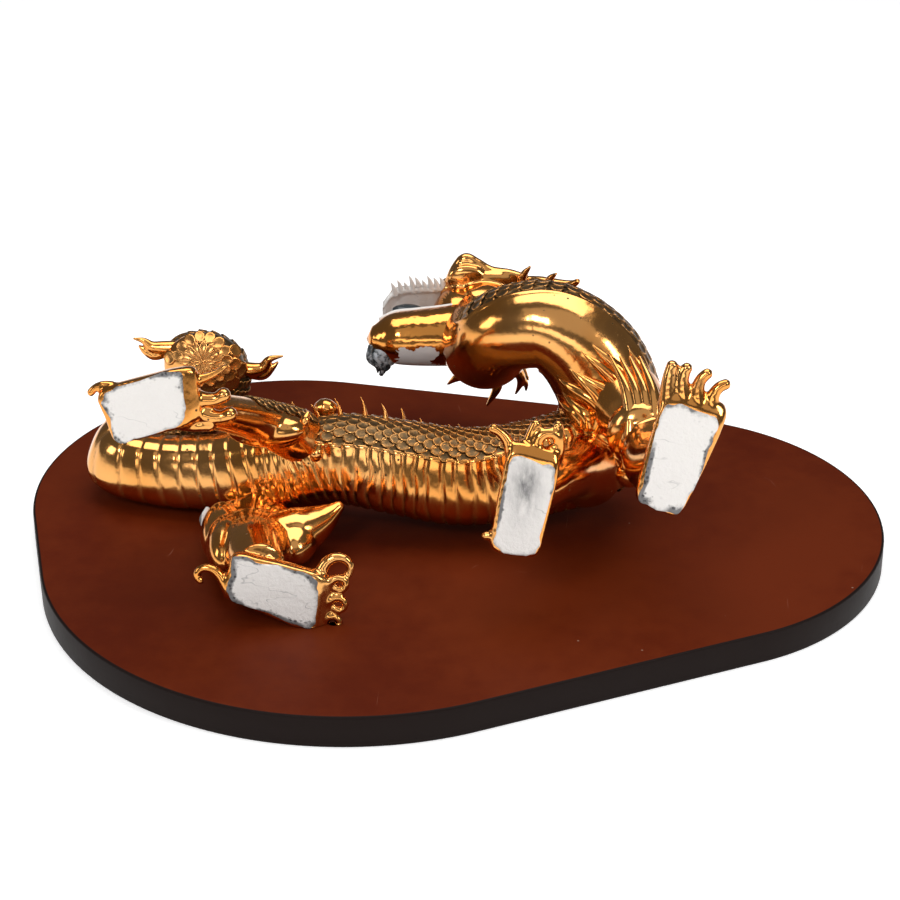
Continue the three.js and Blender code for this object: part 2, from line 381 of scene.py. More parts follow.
@dataclass(frozen=True)
class GoldLustre:
    """Mirror-bright copper-gold lustre, thin and darker where the patina gathered."""

    bright: Colour = (0.72, 0.295, 0.066)
    pale: Colour = (0.77, 0.37, 0.115)
    patina: Colour = (0.080, 0.047, 0.017)
    shine: float = 0.145
    patina_roughness: float = 0.24
    patina_dulling: float = 0.3
    patina_floor: float = 0.55
    flecking: float = 0.8
    scuffing: float = 0.1
    drift: Grain = Grain(14.0, 2.0, band=(0.35, 0.65))
    speckle: Grain = Grain(420.0, 4.0, 0.65)
    flecks: Dots = Dots(120.0, 0.08, 0.15)
    flecked_areas: Grain = Grain(28.0, band=(0.48, 0.58))
    scuffs: Grain = Grain(75.0, 6.0, 0.75, band=(0.58, 0.74))
    dimples: Grain = Grain(110.0, 2.0)
    dimple_share: float = 0.4
    swells: Grain = Grain(30.0, 1.0)
    relief: float = 0.00042

    def build(self) -> bpy.types.Material:
        """The material; the mesh's stain attribute says where the patina lies.

        Returns:
            The finished material.
        """
        s = Shader("gold_lustre")
        fleck = s.dots(self.flecks) * s.patches(self.flecked_areas) * self.flecking
        speckled = s.attribute("stain") * (self.patina_floor + s.noise(self.speckle))
        stain = speckled.most(fleck).least(1.0)
        metal = s.mix(s.patches(self.drift), self.bright, self.pale)
        scuff = s.patches(self.scuffs) * self.scuffing
        s.bump(s.noise(self.dimples) * self.dimple_share + s.noise(self.swells), self.relief)
        return s.dressed(
            Base_Color=s.mix(stain.step(0.15, 0.85), metal, self.patina),
            Metallic=1.0 - stain * self.patina_dulling,
            Roughness=self.shine + stain * self.patina_roughness + scuff,
        )


@dataclass(frozen=True)
class WornLustre:
    """Gold lustre with patches worn through to the white ceramic."""

    gold: GoldLustre = field(default_factory=GoldLustre)
    white: Colour = (0.62, 0.60, 0.60)
    grime: Colour = (0.06, 0.06, 0.055)
    ragged: Grain = Grain(75.0, 6.0, 0.65)
    raggedness: float = 2.4
    worn_band: tuple[float, float] = (0.47, 0.53)
    speckle: Grain = Grain(300.0, 4.0)
    swells: Grain = Grain(80.0, 2.0)
    relief: float = 0.0010
    stain_roughness: float = 0.3
    white_roughness: float = 0.25

    def build(self) -> bpy.types.Material:
        """The material; the wear attribute says how likely the white shows.

        Returns:
            The finished material.
        """
        s = Shader("worn_lustre")
        wear = s.attribute("wear") + (s.noise(self.ragged) - 0.5) * self.raggedness
        bare = wear.step(*self.worn_band)
        stain = (s.attribute("stain") * (0.5 + s.noise(self.speckle))).least(1.0)
        metal = s.mix(stain.step(0.2, 0.8), self.gold.bright, self.gold.patina)
        s.bump(s.noise(self.swells), self.relief)
        return s.dressed(
            Base_Color=s.mix(bare, metal, s.mix(stain, self.white, self.grime)),
            Metallic=(1.0 - bare) * (1.0 - stain * 0.5),
            Roughness=self.gold.shine + stain * self.stain_roughness + bare * self.white_roughness,
        )


@dataclass(frozen=True)
class BareCeramic:
    """White unglazed ceramic, smudged and pitted towards its edges."""

    body: Colour = (0.80, 0.765, 0.73)
    smudge: Colour = (0.175, 0.17, 0.17)
    pit: Colour = (0.05, 0.05, 0.055)
    smudging: float = 0.9
    clouds: Grain = Grain(55.0, 5.0, 0.6)
    fine: Grain = Grain(330.0, 4.0, 0.7, band=(0.40, 0.52))
    patches: Grain = Grain(30.0, 3.0, 0.6, band=(0.44, 0.60))
    rim: tuple[float, float] = (0.72, 1.02)
    dirt_band: tuple[float, float] = (0.33, 0.72)
    streaks: Grain = Grain(90.0, 5.0, 0.7, (1.6, 1.0, 0.5))
    scratches: Grain = Grain(22.0, stretch=(1.0, 1.0, 2.2))
    scratch_thinness: float = 160.0
    scratched_areas: Grain = Grain(34.0, 2.0, band=(0.48, 0.60))
    pits: Dots = Dots(330.0, 0.22, 0.40)
    pitted_rim: tuple[float, float] = (0.7, 0.97)
    tooth: Grain = Grain(240.0, 5.0, 0.7)
    relief: float = 0.0012

    def build(self) -> bpy.types.Material:
        """The material; the edge attribute is 1 on the rim, smear is 1 on a dirty patch.

        Returns:
            The finished material.
        """
        s = Shader("bare_ceramic")
        cloud = s.noise(self.clouds)
        fine = s.noise(self.fine)
        patch = s.patches(self.patches)
        dirt = s.attribute("edge").step(*self.rim) * (0.42 + patch * 0.62) + 0.10
        smear = s.attribute("smear") * (s.noise(self.streaks) * 2.6 - 0.65) * 1.1
        smudged = (dirt * self.smudging * (cloud * 1.7 - 0.35 + fine)).step(*self.dirt_band).most(smear)
        scratch = s.hairlines(self.scratches, self.scratch_thinness) * s.patches(self.scratched_areas) * 0.5
        pitted = s.attribute("edge").step(*self.pitted_rim) * patch * fine.step(*self.fine.band)
        pits = s.dots(self.pits) * pitted
        colour = s.mix(smudged.most(scratch), self.body, self.smudge)
        s.bump(s.noise(self.tooth) - pits, self.relief)
        return s.dressed(Base_Color=s.mix(pits, colour, self.pit), Roughness=0.72 - 0.1 * cloud)


@dataclass(frozen=True)
class Lacquer:
    """Reddish brown satin lacquer over a board, scratched a little from use."""

    top: Colour = (0.080, 0.0082, 0.0009)
    worn: Colour = (0.118, 0.0165, 0.0026)
    side: Colour = (0.010, 0.0055, 0.0045)
    scratch_colour: Colour = (0.30, 0.12, 0.08)
    scratch_strength: float = 0.55
    dust_colour: Colour = (0.34, 0.22, 0.16)
    dust_strength: float = 0.7
    clouds: Grain = Grain(6.0, 4.0, 0.55)
    mottle: Grain = Grain(70.0, 5.0, 0.65)
    mottle_share: float = 0.35
    worn_band: tuple[float, float] = (0.45, 0.85)
    scratches: Grain = Grain(9.0, 2.0, 0.4, (1.0, 0.25, 1.0))
    scratch_thinness: float = 900.0
    scratched_areas: Grain = Grain(24.0, 2.0, band=(0.6, 0.7))
    dust: Dots = Dots(42.0, 0.022, 0.038)
    dusty_areas: Grain = Grain(17.0, 2.0, band=(0.50, 0.56))
    skin: Grain = Grain(260.0, 3.0, 0.6)
    relief: float = 0.00012
    roughness: float = 0.42
    mottle_roughness: float = 0.12
    specular: float = 0.07

    def build(self) -> bpy.types.Material:
        """The material; the side attribute is 1 on the board's edge.

        Returns:
            The finished material.
        """
        s = Shader("lacquer")
        mottle = s.noise(self.mottle)
        wear = (s.noise(self.clouds) + mottle * self.mottle_share).step(*self.worn_band)
        scratch = s.hairlines(self.scratches, self.scratch_thinness) * s.patches(self.scratched_areas)
        dust = s.dots(self.dust) * s.patches(self.dusty_areas)
        face = s.mix(wear, self.top, self.worn)
        face = s.mix(scratch * self.scratch_strength, face, self.scratch_colour)
        face = s.mix(dust * self.dust_strength, face, self.dust_colour)
        s.bump(s.noise(self.skin) * 0.6 + scratch * -0.5, self.relief)
        return s.dressed(
            Base_Color=s.mix(s.attribute("side"), face, self.side),
            Roughness=self.roughness + mottle * self.mottle_roughness,
            Specular_IOR_Level=self.specular,
        )


@dataclass(frozen=True)
class DarkGlaze:
    """Near-black glaze with a silvery bloom; the same black also paints the shadow inside the mouth."""

    black: Colour = (0.03, 0.037, 0.042)
    bloom: Colour = (0.42, 0.44, 0.47)
    clouds: Grain = Grain(130.0, 4.0, 0.6, band=(0.48, 0.62))
    waves: Grain = Grain(220.0)
    relief: float = 0.001
    roughness: float = 0.18
    bloom_roughness: float = 0.3

    def build(self) -> bpy.types.Material:
        """The material; no bloom lies where the stain attribute is 1, as on the painted mouth shadow.

        Returns:
            The finished material.
        """
        s = Shader("dark_glaze")
        cloud = s.patches(self.clouds) * (1.0 - s.attribute("stain"))
        s.bump(s.noise(self.waves), self.relief)
        roughness = self.roughness + cloud * self.bloom_roughness
        return s.dressed(Base_Color=s.mix(cloud, self.black, self.bloom), Roughness=roughness)


@dataclass(frozen=True)
class PaleFloor:
    """The plain pale floor the board stands on, glowing a little."""

    colour: Colour = (0.93, 0.93, 0.93)
    roughness: float = 0.9
    glow: float = 0.45

    def build(self) -> bpy.types.Material:
        """The material.

        Returns:
            The finished material.
        """
        return Shader("pale_floor").dressed(
            Base_Color=self.colour,
            Roughness=self.roughness,
            Emission_Color=self.colour,
            Emission_Strength=self.glow,
        )


# --------------------------------------------------------------------------- mesh building


def ring_faces(rings: int, sides: int) -> list[tuple[int, ...]]:
    """Faces of a closed skin of rings, whose two end points come after all its rings.

    Args:
        rings: how many rings.
        sides: points round each.

    Returns:
        Corner indices of the faces.
    """
    faces: list[tuple[int, ...]] = []
    first_end = rings * sides
    last_ring = first_end - sides
    for i in range(sides):
        j = (i + 1) % sides
        for a in range(0, last_ring, sides):
            b = a + sides
            faces.append((a + i, a + j, b + j, b + i))
        faces.append((first_end, j, i))
        faces.append((first_end + 1, last_ring + i, last_ring + j))
    return faces


class Draft:
    """Points, faces and stored numbers of a mesh being made, in millimetres."""

    def __init__(self) -> None:
        """Starts empty."""
        self.points: list[Vec] = []
        self.faces: list[tuple[int, ...]] = []
        self.numbers: dict[str, list[Vec]] = {}
        self.count = 0

    def add(self, points: Vec, faces: Sequence[tuple[int, ...]], **numbers: Vec) -> "Draft":
        """Adds a piece.

        Args:
            points: rows of points.
            faces: corner indices within those rows.
            numbers: stored numbers, one for each point.

        Returns:
            Itself.
        """
        rows = np.asarray(points, dtype=float)
        for key in sorted(set(self.numbers) | set(numbers)):
            blocks = self.numbers.setdefault(key, [np.zeros(self.count)])
            blocks.append(np.asarray(numbers.get(key, np.zeros(len(rows))), dtype=float))
        self.faces.extend(tuple(i + self.count for i in f) for f in faces)
        self.points.append(rows)
        self.count += len(rows)
        return self

    def object(self, name: str, *materials: bpy.types.Material) -> bpy.types.Object:
        """Makes the mesh object.

        Args:
            name: the piece's name.
            materials: its materials.

        Returns:
            The object, at the origin.
        """
        mesh = bpy.data.meshes.new(name)
        mesh.from_pydata((np.vstack(self.points) * MM).tolist(), [], self.faces)
        for key, blocks in self.numbers.items():
            layer = mesh.attributes.new(key, "FLOAT", "POINT")
            layer.data.foreach_set("value", np.concatenate(blocks).astype(np.float32))
        for material in materials:
            mesh.materials.append(material)
        obj = Finisher.linked(name, mesh)
        Finisher.outward(obj)
        return obj


class Finisher:
    """Jobs done on whole mesh objects."""

    @staticmethod
    def linked(name: str, data: bpy.types.ID) -> bpy.types.Object:
        """A new object in the scene.

        Args:
            name: its name.
            data: its mesh, lamp or camera.

        Returns:
            The object.
        """
        obj = bpy.data.objects.new(name, data)
        bpy.context.scene.collection.objects.link(obj)
        return obj

    @staticmethod
    def outward(obj: bpy.types.Object) -> None:
        """Turns every face outward and shades it smooth.

        Args:
            obj: the mesh object.
        """
        work = bmesh.new()
        work.from_mesh(obj.data)
        bmesh.ops.remove_doubles(work, verts=work.verts, dist=SAME_CORNER)
        bmesh.ops.recalc_face_normals(work, faces=work.faces)
        work.to_mesh(obj.data)
        work.free()
        obj.data.shade_smooth()

    @staticmethod
    def applied(obj: bpy.types.Object) -> bpy.types.Object:
        """Bakes the object's modifiers into a plain mesh.

        Args:
            obj: the object.

        Returns:
            The same object with no modifiers.
        """
        graph = bpy.context.evaluated_depsgraph_get()
        mesh = bpy.data.meshes.new_from_object(obj.evaluated_get(graph))
        obj.modifiers.clear()
        obj.data = mesh
        return obj

    @staticmethod
    def fused(obj: bpy.types.Object, voxel: float, rounds: int) -> bpy.types.Object:
        """Grows overlapping pieces into one skin and softens where they meet.

        Args:
            obj: an object holding closed, overlapping pieces.
            voxel: grid size of the skin, in millimetres.
            rounds: how often it is smoothed.

        Returns:
            The same object with one plain mesh.
        """
        materials = list(obj.data.materials)
        grow = obj.modifiers.new("skin", "REMESH")
        grow.mode = "VOXEL"
        grow.voxel_size = voxel * MM
        ease = obj.modifiers.new("ease", "SMOOTH")
        ease.factor = 0.5
        ease.iterations = rounds
        Finisher.applied(obj)
        obj.data.materials.clear()
        for material in materials:
            obj.data.materials.append(material)
        obj.data.shade_smooth()
        return obj

    @staticmethod
    def rested(obj: bpy.types.Object) -> bpy.types.Object:
        """Flattens what would sink into the board, to where the dragon touches it.

        Args:
            obj: the mesh object.

        Returns:
            The same object.
        """
        for v in obj.data.vertices:
            v.co.z = max(v.co.z, REST_HEIGHT * MM)
        return obj

    @staticmethod
    def store(obj: bpy.types.Object, name: str, rule: Callable[[Vec], Vec]) -> None:
        """Stores a number on every point, worked out from where the point is.

        Args:
            obj: the mesh object.
            name: the number's name.
            rule: gives the numbers for rows of points in millimetres.
        """
        rows = np.zeros(len(obj.data.vertices) * 3)
        obj.data.vertices.foreach_get("co", rows)
        layer = obj.data.attributes.new(name, "FLOAT", "POINT")
        layer.data.foreach_set("value", rule(rows.reshape(-1, 3) / MM).astype(np.float32))


# --------------------------------------------------------------------------- swept surfaces


@dataclass(frozen=True)
class Station:
    """A place on a swept path: centre and radius, and for the body which way its belly faces."""

    x: float
    y: float
    z: float
    radius: float
    belly: tuple[float, float, float] = (0.0, -1.0, 0.0)
    belly_half: float = 40.0

    @property
    def at(self) -> Vec:
        """The centre."""
        return vec(self.x, self.y, self.z)


# Gives lift and stain for distances along a path, angles round it and radii.
Relief = Callable[[Vec, Vec, Vec], tuple[Vec, Vec]]


class Tube:
    """A round body swept along a path of stations."""

    def __init__(self, stations: Sequence[Station], step: float, ease: float = 6.0) -> None:
        """Samples the path at even steps.

        Args:
            stations: the places the path goes through.
            step: distance between rings.
            ease: length over which radius and belly are smoothed.
        """
        fine = 24
        knots = np.arange(len(stations))
        path = rounded_path(np.array([s.at for s in stations]), fine)
        place = np.arange(len(path)) / fine
        along = np.concatenate([[0.0], np.cumsum(np.linalg.norm(np.diff(path, axis=0), axis=1))])
        self.length = float(along[-1])
        self.rings = max(int(round(self.length / step)) + 1, 4)
        self.s = np.linspace(0.0, self.length, self.rings)
        at = np.interp(self.s, along, place)
        self.stations_at = np.interp(knots, place, along)
        reach = int(round(ease / step))
        self.centre = np.stack([np.interp(self.s, along, path[:, i]) for i in range(3)], axis=1)
        self.tangent = unit(np.gradient(self.centre, axis=0))
        self.radius = soften(np.interp(at, knots, [s.radius for s in stations]), reach)
        self.half = soften(np.interp(at, knots, [s.belly_half for s in stations]), reach)
        hints = np.array([s.belly for s in stations])
        belly = np.stack([np.interp(at, knots, hints[:, i]) for i in range(3)], axis=1)
        belly = soften(belly, reach)
        self.belly = unit(belly - self.tangent * np.sum(belly * self.tangent, axis=1, keepdims=True))
        self.side = np.cross(self.tangent, self.belly)

    def at(self, s: Vec, name: str) -> Vec:
        """A sampled quantity at any distance along the path.

        Args:
            s: distances.
            name: which quantity.

        Returns:
            The interpolated rows.
        """
        rows = getattr(self, name)
        if rows.ndim == 1:
            return np.interp(s, self.s, rows)
        return np.stack([np.interp(s, self.s, rows[:, i]) for i in range(rows.shape[1])], axis=-1)

    def out(self, s: Vec, turn: Vec) -> Vec:
        """The way straight out of the path, turned from the belly."""
        belly = np.cos(turn)[..., None] * self.at(s, "belly")
        return unit(belly + np.sin(turn)[..., None] * self.at(s, "side"))

    def skin(self, s: Vec, turn: Vec, lift: Vec) -> Vec:
        """Points on the surface."""
        reach = (self.at(s, "radius") + lift)[..., None]
        return self.at(s, "centre") + self.out(s, turn) * reach

    def draft(self, sides: int, relief: Optional[Relief] = None) -> Draft:
        """The closed surface.

        Args:
            sides: points round each ring.
            relief: gives lift and stain for distances, angles and radii.

        Returns:
            The draft.
        """
        turn = np.linspace(-math.pi, math.pi, sides, endpoint=False)
        s, t = np.meshgrid(self.s, turn, indexing="ij")
        lift = np.zeros_like(s)
        stain = np.zeros_like(s)
        if relief is not None:
            lift, stain = relief(s, t, self.at(s, "radius"))
        first = self.centre[0] - self.tangent[0] * self.radius[0] * END_BULGE
        last = self.centre[-1] + self.tangent[-1] * self.radius[-1] * END_BULGE
        points = np.vstack([self.skin(s, t, lift).reshape(-1, 3), first, last])
        stains = np.concatenate([stain.reshape(-1), [0.0, 0.0]])
        return Draft().add(points, ring_faces(self.rings, sides), stain=stains)


def egg(centre: Vec, size: Vec, rows: int = 20) -> Draft:
    """A closed egg shape.

    Args:
        centre: its middle.
        size: half its length along each axis.
        rows: rings from pole to pole.

    Returns:
        The draft.
    """
    lat = np.linspace(0.0, math.pi, rows + 1)[1:-1]
    lon = np.linspace(0.0, 2.0 * math.pi, 2 * rows, endpoint=False)
    a, b = np.meshgrid(lat, lon, indexing="ij")
    ball = np.stack([np.sin(a) * np.cos(b), np.sin(a) * np.sin(b), np.cos(a)], axis=-1).reshape(-1, 3)
    ball = np.vstack([ball, [[0, 0, 1], [0, 0, -1]]]) * size
    return Draft().add(ball + centre, ring_faces(len(lat), len(lon)))


def merged(drafts: Sequence[Draft]) -> Draft:
    """Several drafts as one.

    Args:
        drafts: the pieces.

    Returns:
        One draft holding them all.
    """
    whole = Draft()
    for d in drafts:
        whole.add(np.vstack(d.points), d.faces, **{k: np.concatenate(v) for k, v in d.numbers.items()})
    return whole


# --------------------------------------------------------------------------- repeated shapes


class Repeater:
    """Places copies of one small shape on a cloud of points with a node tree."""

    def __init__(self, name: str, shape: bpy.types.Object, material: bpy.types.Material) -> None:
        """Builds the tree.

        Args:
            name: the tree's name.
            shape: the shape copied, Z out and X along.
            material: what the copies are made of.
        """
        self.shape = shape
        self.material = material
        self.tree = bpy.data.node_groups.new(name, "GeometryNodeTree")
        self._socket("Geometry", "NodeSocketGeometry")
        self.shape_id = self._socket("Shape", "NodeSocketObject")
        self.material_id = self._socket("Material", "NodeSocketMaterial")
        self.jitter_id = self._socket("Jitter", "NodeSocketFloat")
        self.seed_id = self._socket("Seed", "NodeSocketInt")
        self._socket("Geometry", "NodeSocketGeometry", "OUTPUT")
        self._wire()

    def _socket(self, name: str, kind: str, side: str = "INPUT") -> str:
        """Adds a socket to the tree and gives its identifier."""
        return self.tree.interface.new_socket(name, in_out=side, socket_type=kind).identifier

    def _node(self, kind: str, inputs: dict[object, object], **settings: object) -> bpy.types.NodeOutputs:
        """Adds a node with these inputs and settings and gives its outputs."""
        return wired(self.tree, kind, inputs, **settings).outputs

    def _stored(self, name: str) -> bpy.types.NodeSocket:
        """The vector stored on the points under this name."""
        return self._node("GeometryNodeInputNamedAttribute", {"Name": name}, data_type="FLOAT_VECTOR")[0]

    def _wire(self) -> None:
        """Fills the tree."""
        start = self.tree.nodes.new("NodeGroupInput").outputs
        points = self._node("GeometryNodeMeshToPoints", {"Mesh": start["Geometry"]})
        stand = self._node("FunctionNodeAlignRotationToVector", {"Vector": self._stored("out")}, axis="Z")
        facing = {"Rotation": stand[0], "Vector": self._stored("along")}
        turned = self._node("FunctionNodeAlignRotationToVector", facing, axis="X", pivot_axis="Z")
        low = self._node("ShaderNodeMath", {0: 1.0, 1: start["Jitter"]}, operation="SUBTRACT")
        high = self._node("ShaderNodeMath", {0: 1.0, 1: start["Jitter"]}, operation="ADD")
        span = {2: low[0], 3: high[0], "Seed": start["Seed"]}
        vary = self._node("FunctionNodeRandomValue", span, data_type="FLOAT")
        size = {0: self._stored("size"), "Scale": vary[1]}
        scaled = self._node("ShaderNodeVectorMath", size, operation="SCALE")
        shape = self._node("GeometryNodeObjectInfo", {"Object": start["Shape"]})
        places = {
            "Points": points[0],
            "Instance": shape["Geometry"],
            "Rotation": turned[0],
            "Scale": scaled[0],
        }
        copies = self._node("GeometryNodeInstanceOnPoints", places)
        real = self._node("GeometryNodeRealizeInstances", {"Geometry": copies[0]})
        dressed = {"Geometry": real[0], "Material": start["Material"]}
        painted = self._node("GeometryNodeSetMaterial", dressed)
        self._node("NodeGroupOutput", {0: painted[0]})

    def spread(self, name: str, spots: "Spots", jitter: float, seed: int) -> bpy.types.Object:
        """Copies the shape onto every spot.

        Args:
            name: the piece's name.
            spots: where, which way and how large.
            jitter: share by which sizes differ.
            seed: picks the differences.

        Returns:
            One plain mesh object.
        """
        cloud = spots.cloud(name)
        mod = cloud.modifiers.new("copies", "NODES")
        mod.node_group = self.tree
        mod[self.shape_id] = self.shape
        mod[self.material_id] = self.material
        mod[self.jitter_id] = jitter
        mod[self.seed_id] = seed
        Finisher.applied(cloud)
        for key in Spots.KEYS:
            if key in cloud.data.attributes:
                cloud.data.attributes.remove(cloud.data.attributes[key])
        cloud.data.shade_smooth()
        return cloud


class Spots:
    """Places for copies: where, outward, along and size, in millimetres."""

    KEYS = ("out", "along", "size")

    def __init__(self) -> None:
        """Starts empty."""
        self.rows: list[tuple[Vec, Vec, Vec, Vec]] = []

    def add(self, at: Vec, out: Vec, along: Vec, size: Vec) -> None:
        """Adds one place."""
        self.rows.append((at, out, along, size))

    def cloud(self, name: str) -> bpy.types.Object:
        """A mesh of loose points carrying the ways and sizes.

        Args:
            name: the object's name.

        Returns:
            The object.
        """
        mesh = bpy.data.meshes.new(name)
        mesh.from_pydata([tuple(r[0] * MM) for r in self.rows], [], [])
        for place, key in enumerate(self.KEYS, start=1):
            layer = mesh.attributes.new(key, "FLOAT_VECTOR", "POINT")
            scale = MM if key == "size" else 1.0
            values = np.array([r[place] * scale for r in self.rows], dtype=np.float32)
            layer.data.foreach_set("vector", values.ravel())
        return Finisher.linked(name, mesh)


class Shapes:
    """The small shapes that are copied, each about one unit long."""

    # They are swept a hundred times larger, where the tube's steps suit them.
    GROWN = 100.0

    @staticmethod
    def _hidden(draft: Draft, name: str) -> bpy.types.Object:
        """A shape kept out of the scene until it is copied.

        Args:
            draft: the shape, in units.
            name: its name.

        Returns:
            The object, not linked to the scene.
        """
        obj = draft.object(name)
        for v in obj.data.vertices:
            v.co = v.co / MM
        bpy.context.scene.collection.objects.unlink(obj)
        return obj

    @staticmethod
    def scale(darkness: float) -> bpy.types.Object:
        """A round-ended scale: raised rim, sunk middle, free edge at -X.

        Args:
            darkness: how much patina it holds.

        Returns:
            The shape.
        """
        sides = 10
        half_length, half_width = 0.62, 0.56
        lean, arch, taper = -0.24, 0.16, 0.22
        # Share of the outline, height and patina, from the inner ring to the skirt.
        rings = ((0.70, 0.20, 0.66), (0.93, 0.30, 0.32), (1.06, -0.25, 1.3))
        points = []
        stain = []
        for share, height, dark in rings:
            for a in np.linspace(0.0, 2.0 * math.pi, sides, endpoint=False):
                x = half_length * math.cos(a) * share
                y = half_width * math.sin(a) * (1.0 - taper * max(math.cos(a), 0.0)) * share
                points.append(vec(x, y, height + lean * x - arch * y ** 2))
                stain.append(dark)
        points += [vec(0.0, 0.0, 0.15), vec(0.0, 0.0, -0.3)]
        stain += [0.8, 1.0]
        draft = Draft().add(np.array(points), ring_faces(len(rings), sides), stain=np.array(stain) * darkness)
        return Shapes._hidden(draft, "scale_shape")

    @staticmethod
    def _swept(name: str, outline: Sequence[tuple[float, float, float]], step: float) -> bpy.types.Object:
        """A pointed shape standing on Z.

        Args:
            name: its name.
            outline: X, Z and radius from foot to tip.
            step: ring spacing on the grown shape.

        Returns:
            The shape.
        """
        grown = np.array(outline) * Shapes.GROWN
        stations = [Station(x, 0.0, z, radius, (1.0, 0.0, 0.0)) for x, z, radius in grown]
        draft = Tube(stations, step, ease=3.0).draft(sides=8)
        draft.points = [p / Shapes.GROWN for p in draft.points]
        return Shapes._hidden(draft, name)

    @staticmethod
    def thorn() -> bpy.types.Object:
        """A spine, its tip swept back to -X, with a broad flat foot.

        Returns:
            The shape.
        """
        foot = ((0.06, -0.2, 0.26), (0.02, 0.2, 0.17))
        outline = (*foot, (-0.08, 0.6, 0.09), (-0.26, 0.95, 0.035), (-0.34, 1.03, 0.012))
        return Shapes._swept("thorn_shape", outline, 11.0)

    @staticmethod
    def tooth() -> bpy.types.Object:
        """A tooth, a little hooked, standing on Z."""
        outline = ((0.0, -0.2, 0.2), (0.0, 0.3, 0.17), (-0.06, 0.8, 0.08), (-0.14, 1.04, 0.015))
        return Shapes._swept("tooth_shape", outline, 14.0)


# --------------------------------------------------------------------------- the board


@dataclass(frozen=True)
class Disc:
    """One of the round shapes the board's outline wraps."""

    x: float
    y: float
    radius: float


@dataclass(frozen=True)
class Board:
    """The free-form rounded board."""

    thickness: float = 24.0
    discs: tuple[Disc, ...] = (Disc(-129, 58, 192), Disc(-74, -21, 230), Disc(148, 12, 173))
    segments: int = 264
    ease: float = 1.6
    ease_steps: int = 4
    bottom_inset: float = 6.0
    top_inset: float = 9.0
    top_lip: float = 0.6

    def outline(self) -> Vec:
        """The furthest disc edge met in every direction, centred.

        Returns:
            Rows of X and Y.
        """
        rows = []
        for i in range(self.segments):
            angle = 2.0 * math.pi * i / self.segments
            way = np.array([math.cos(angle), math.sin(angle)])
            disc = max(self.discs, key=lambda d: d.x * way[0] + d.y * way[1] + d.radius)
            rows.append(np.array([disc.x, disc.y]) + way * disc.radius)
        edge = np.array(rows)
        return edge - (edge.min(axis=0) + edge.max(axis=0)) / 2.0

    def build(self) -> bpy.types.Object:
        """The board as one closed mesh.

        Returns:
            The object.
        """
        edge = self.outline()
        inward = -unit(edge)
        profile = [(self.bottom_inset, 0.0, 0.0), (self.ease, 0.0, 0.5)]
        for a in np.linspace(0.0, math.pi / 2.0, self.ease_steps):
            profile.append((self.ease * (1 - math.sin(a)), self.ease * (1 - math.cos(a)), 1.0))
        top = [(inset, self.thickness - z, side) for inset, z, side in reversed(profile)]
        top[-2:] = [(self.ease + self.top_lip, self.thickness, 0.0), (self.top_inset, self.thickness, 0.0)]
        points = []
        side = []
        for inset, z, dark in profile + top:
            ring = edge + inward * inset
            points.append(np.column_stack([ring, np.full(len(ring), z)]))
            side.append(np.full(len(ring), dark))
        faces = ring_faces(len(points), self.segments)
        points.append(np.array([[0.0, 0.0, 0.0], [0.0, 0.0, self.thickness]]))
        side.append(np.zeros(2))
        draft = Draft().add(np.vstack(points), faces, side=np.concatenate(side))
        return draft.object("board_lacquered", Lacquer().build())


# --------------------------------------------------------------------------- the dragon's body


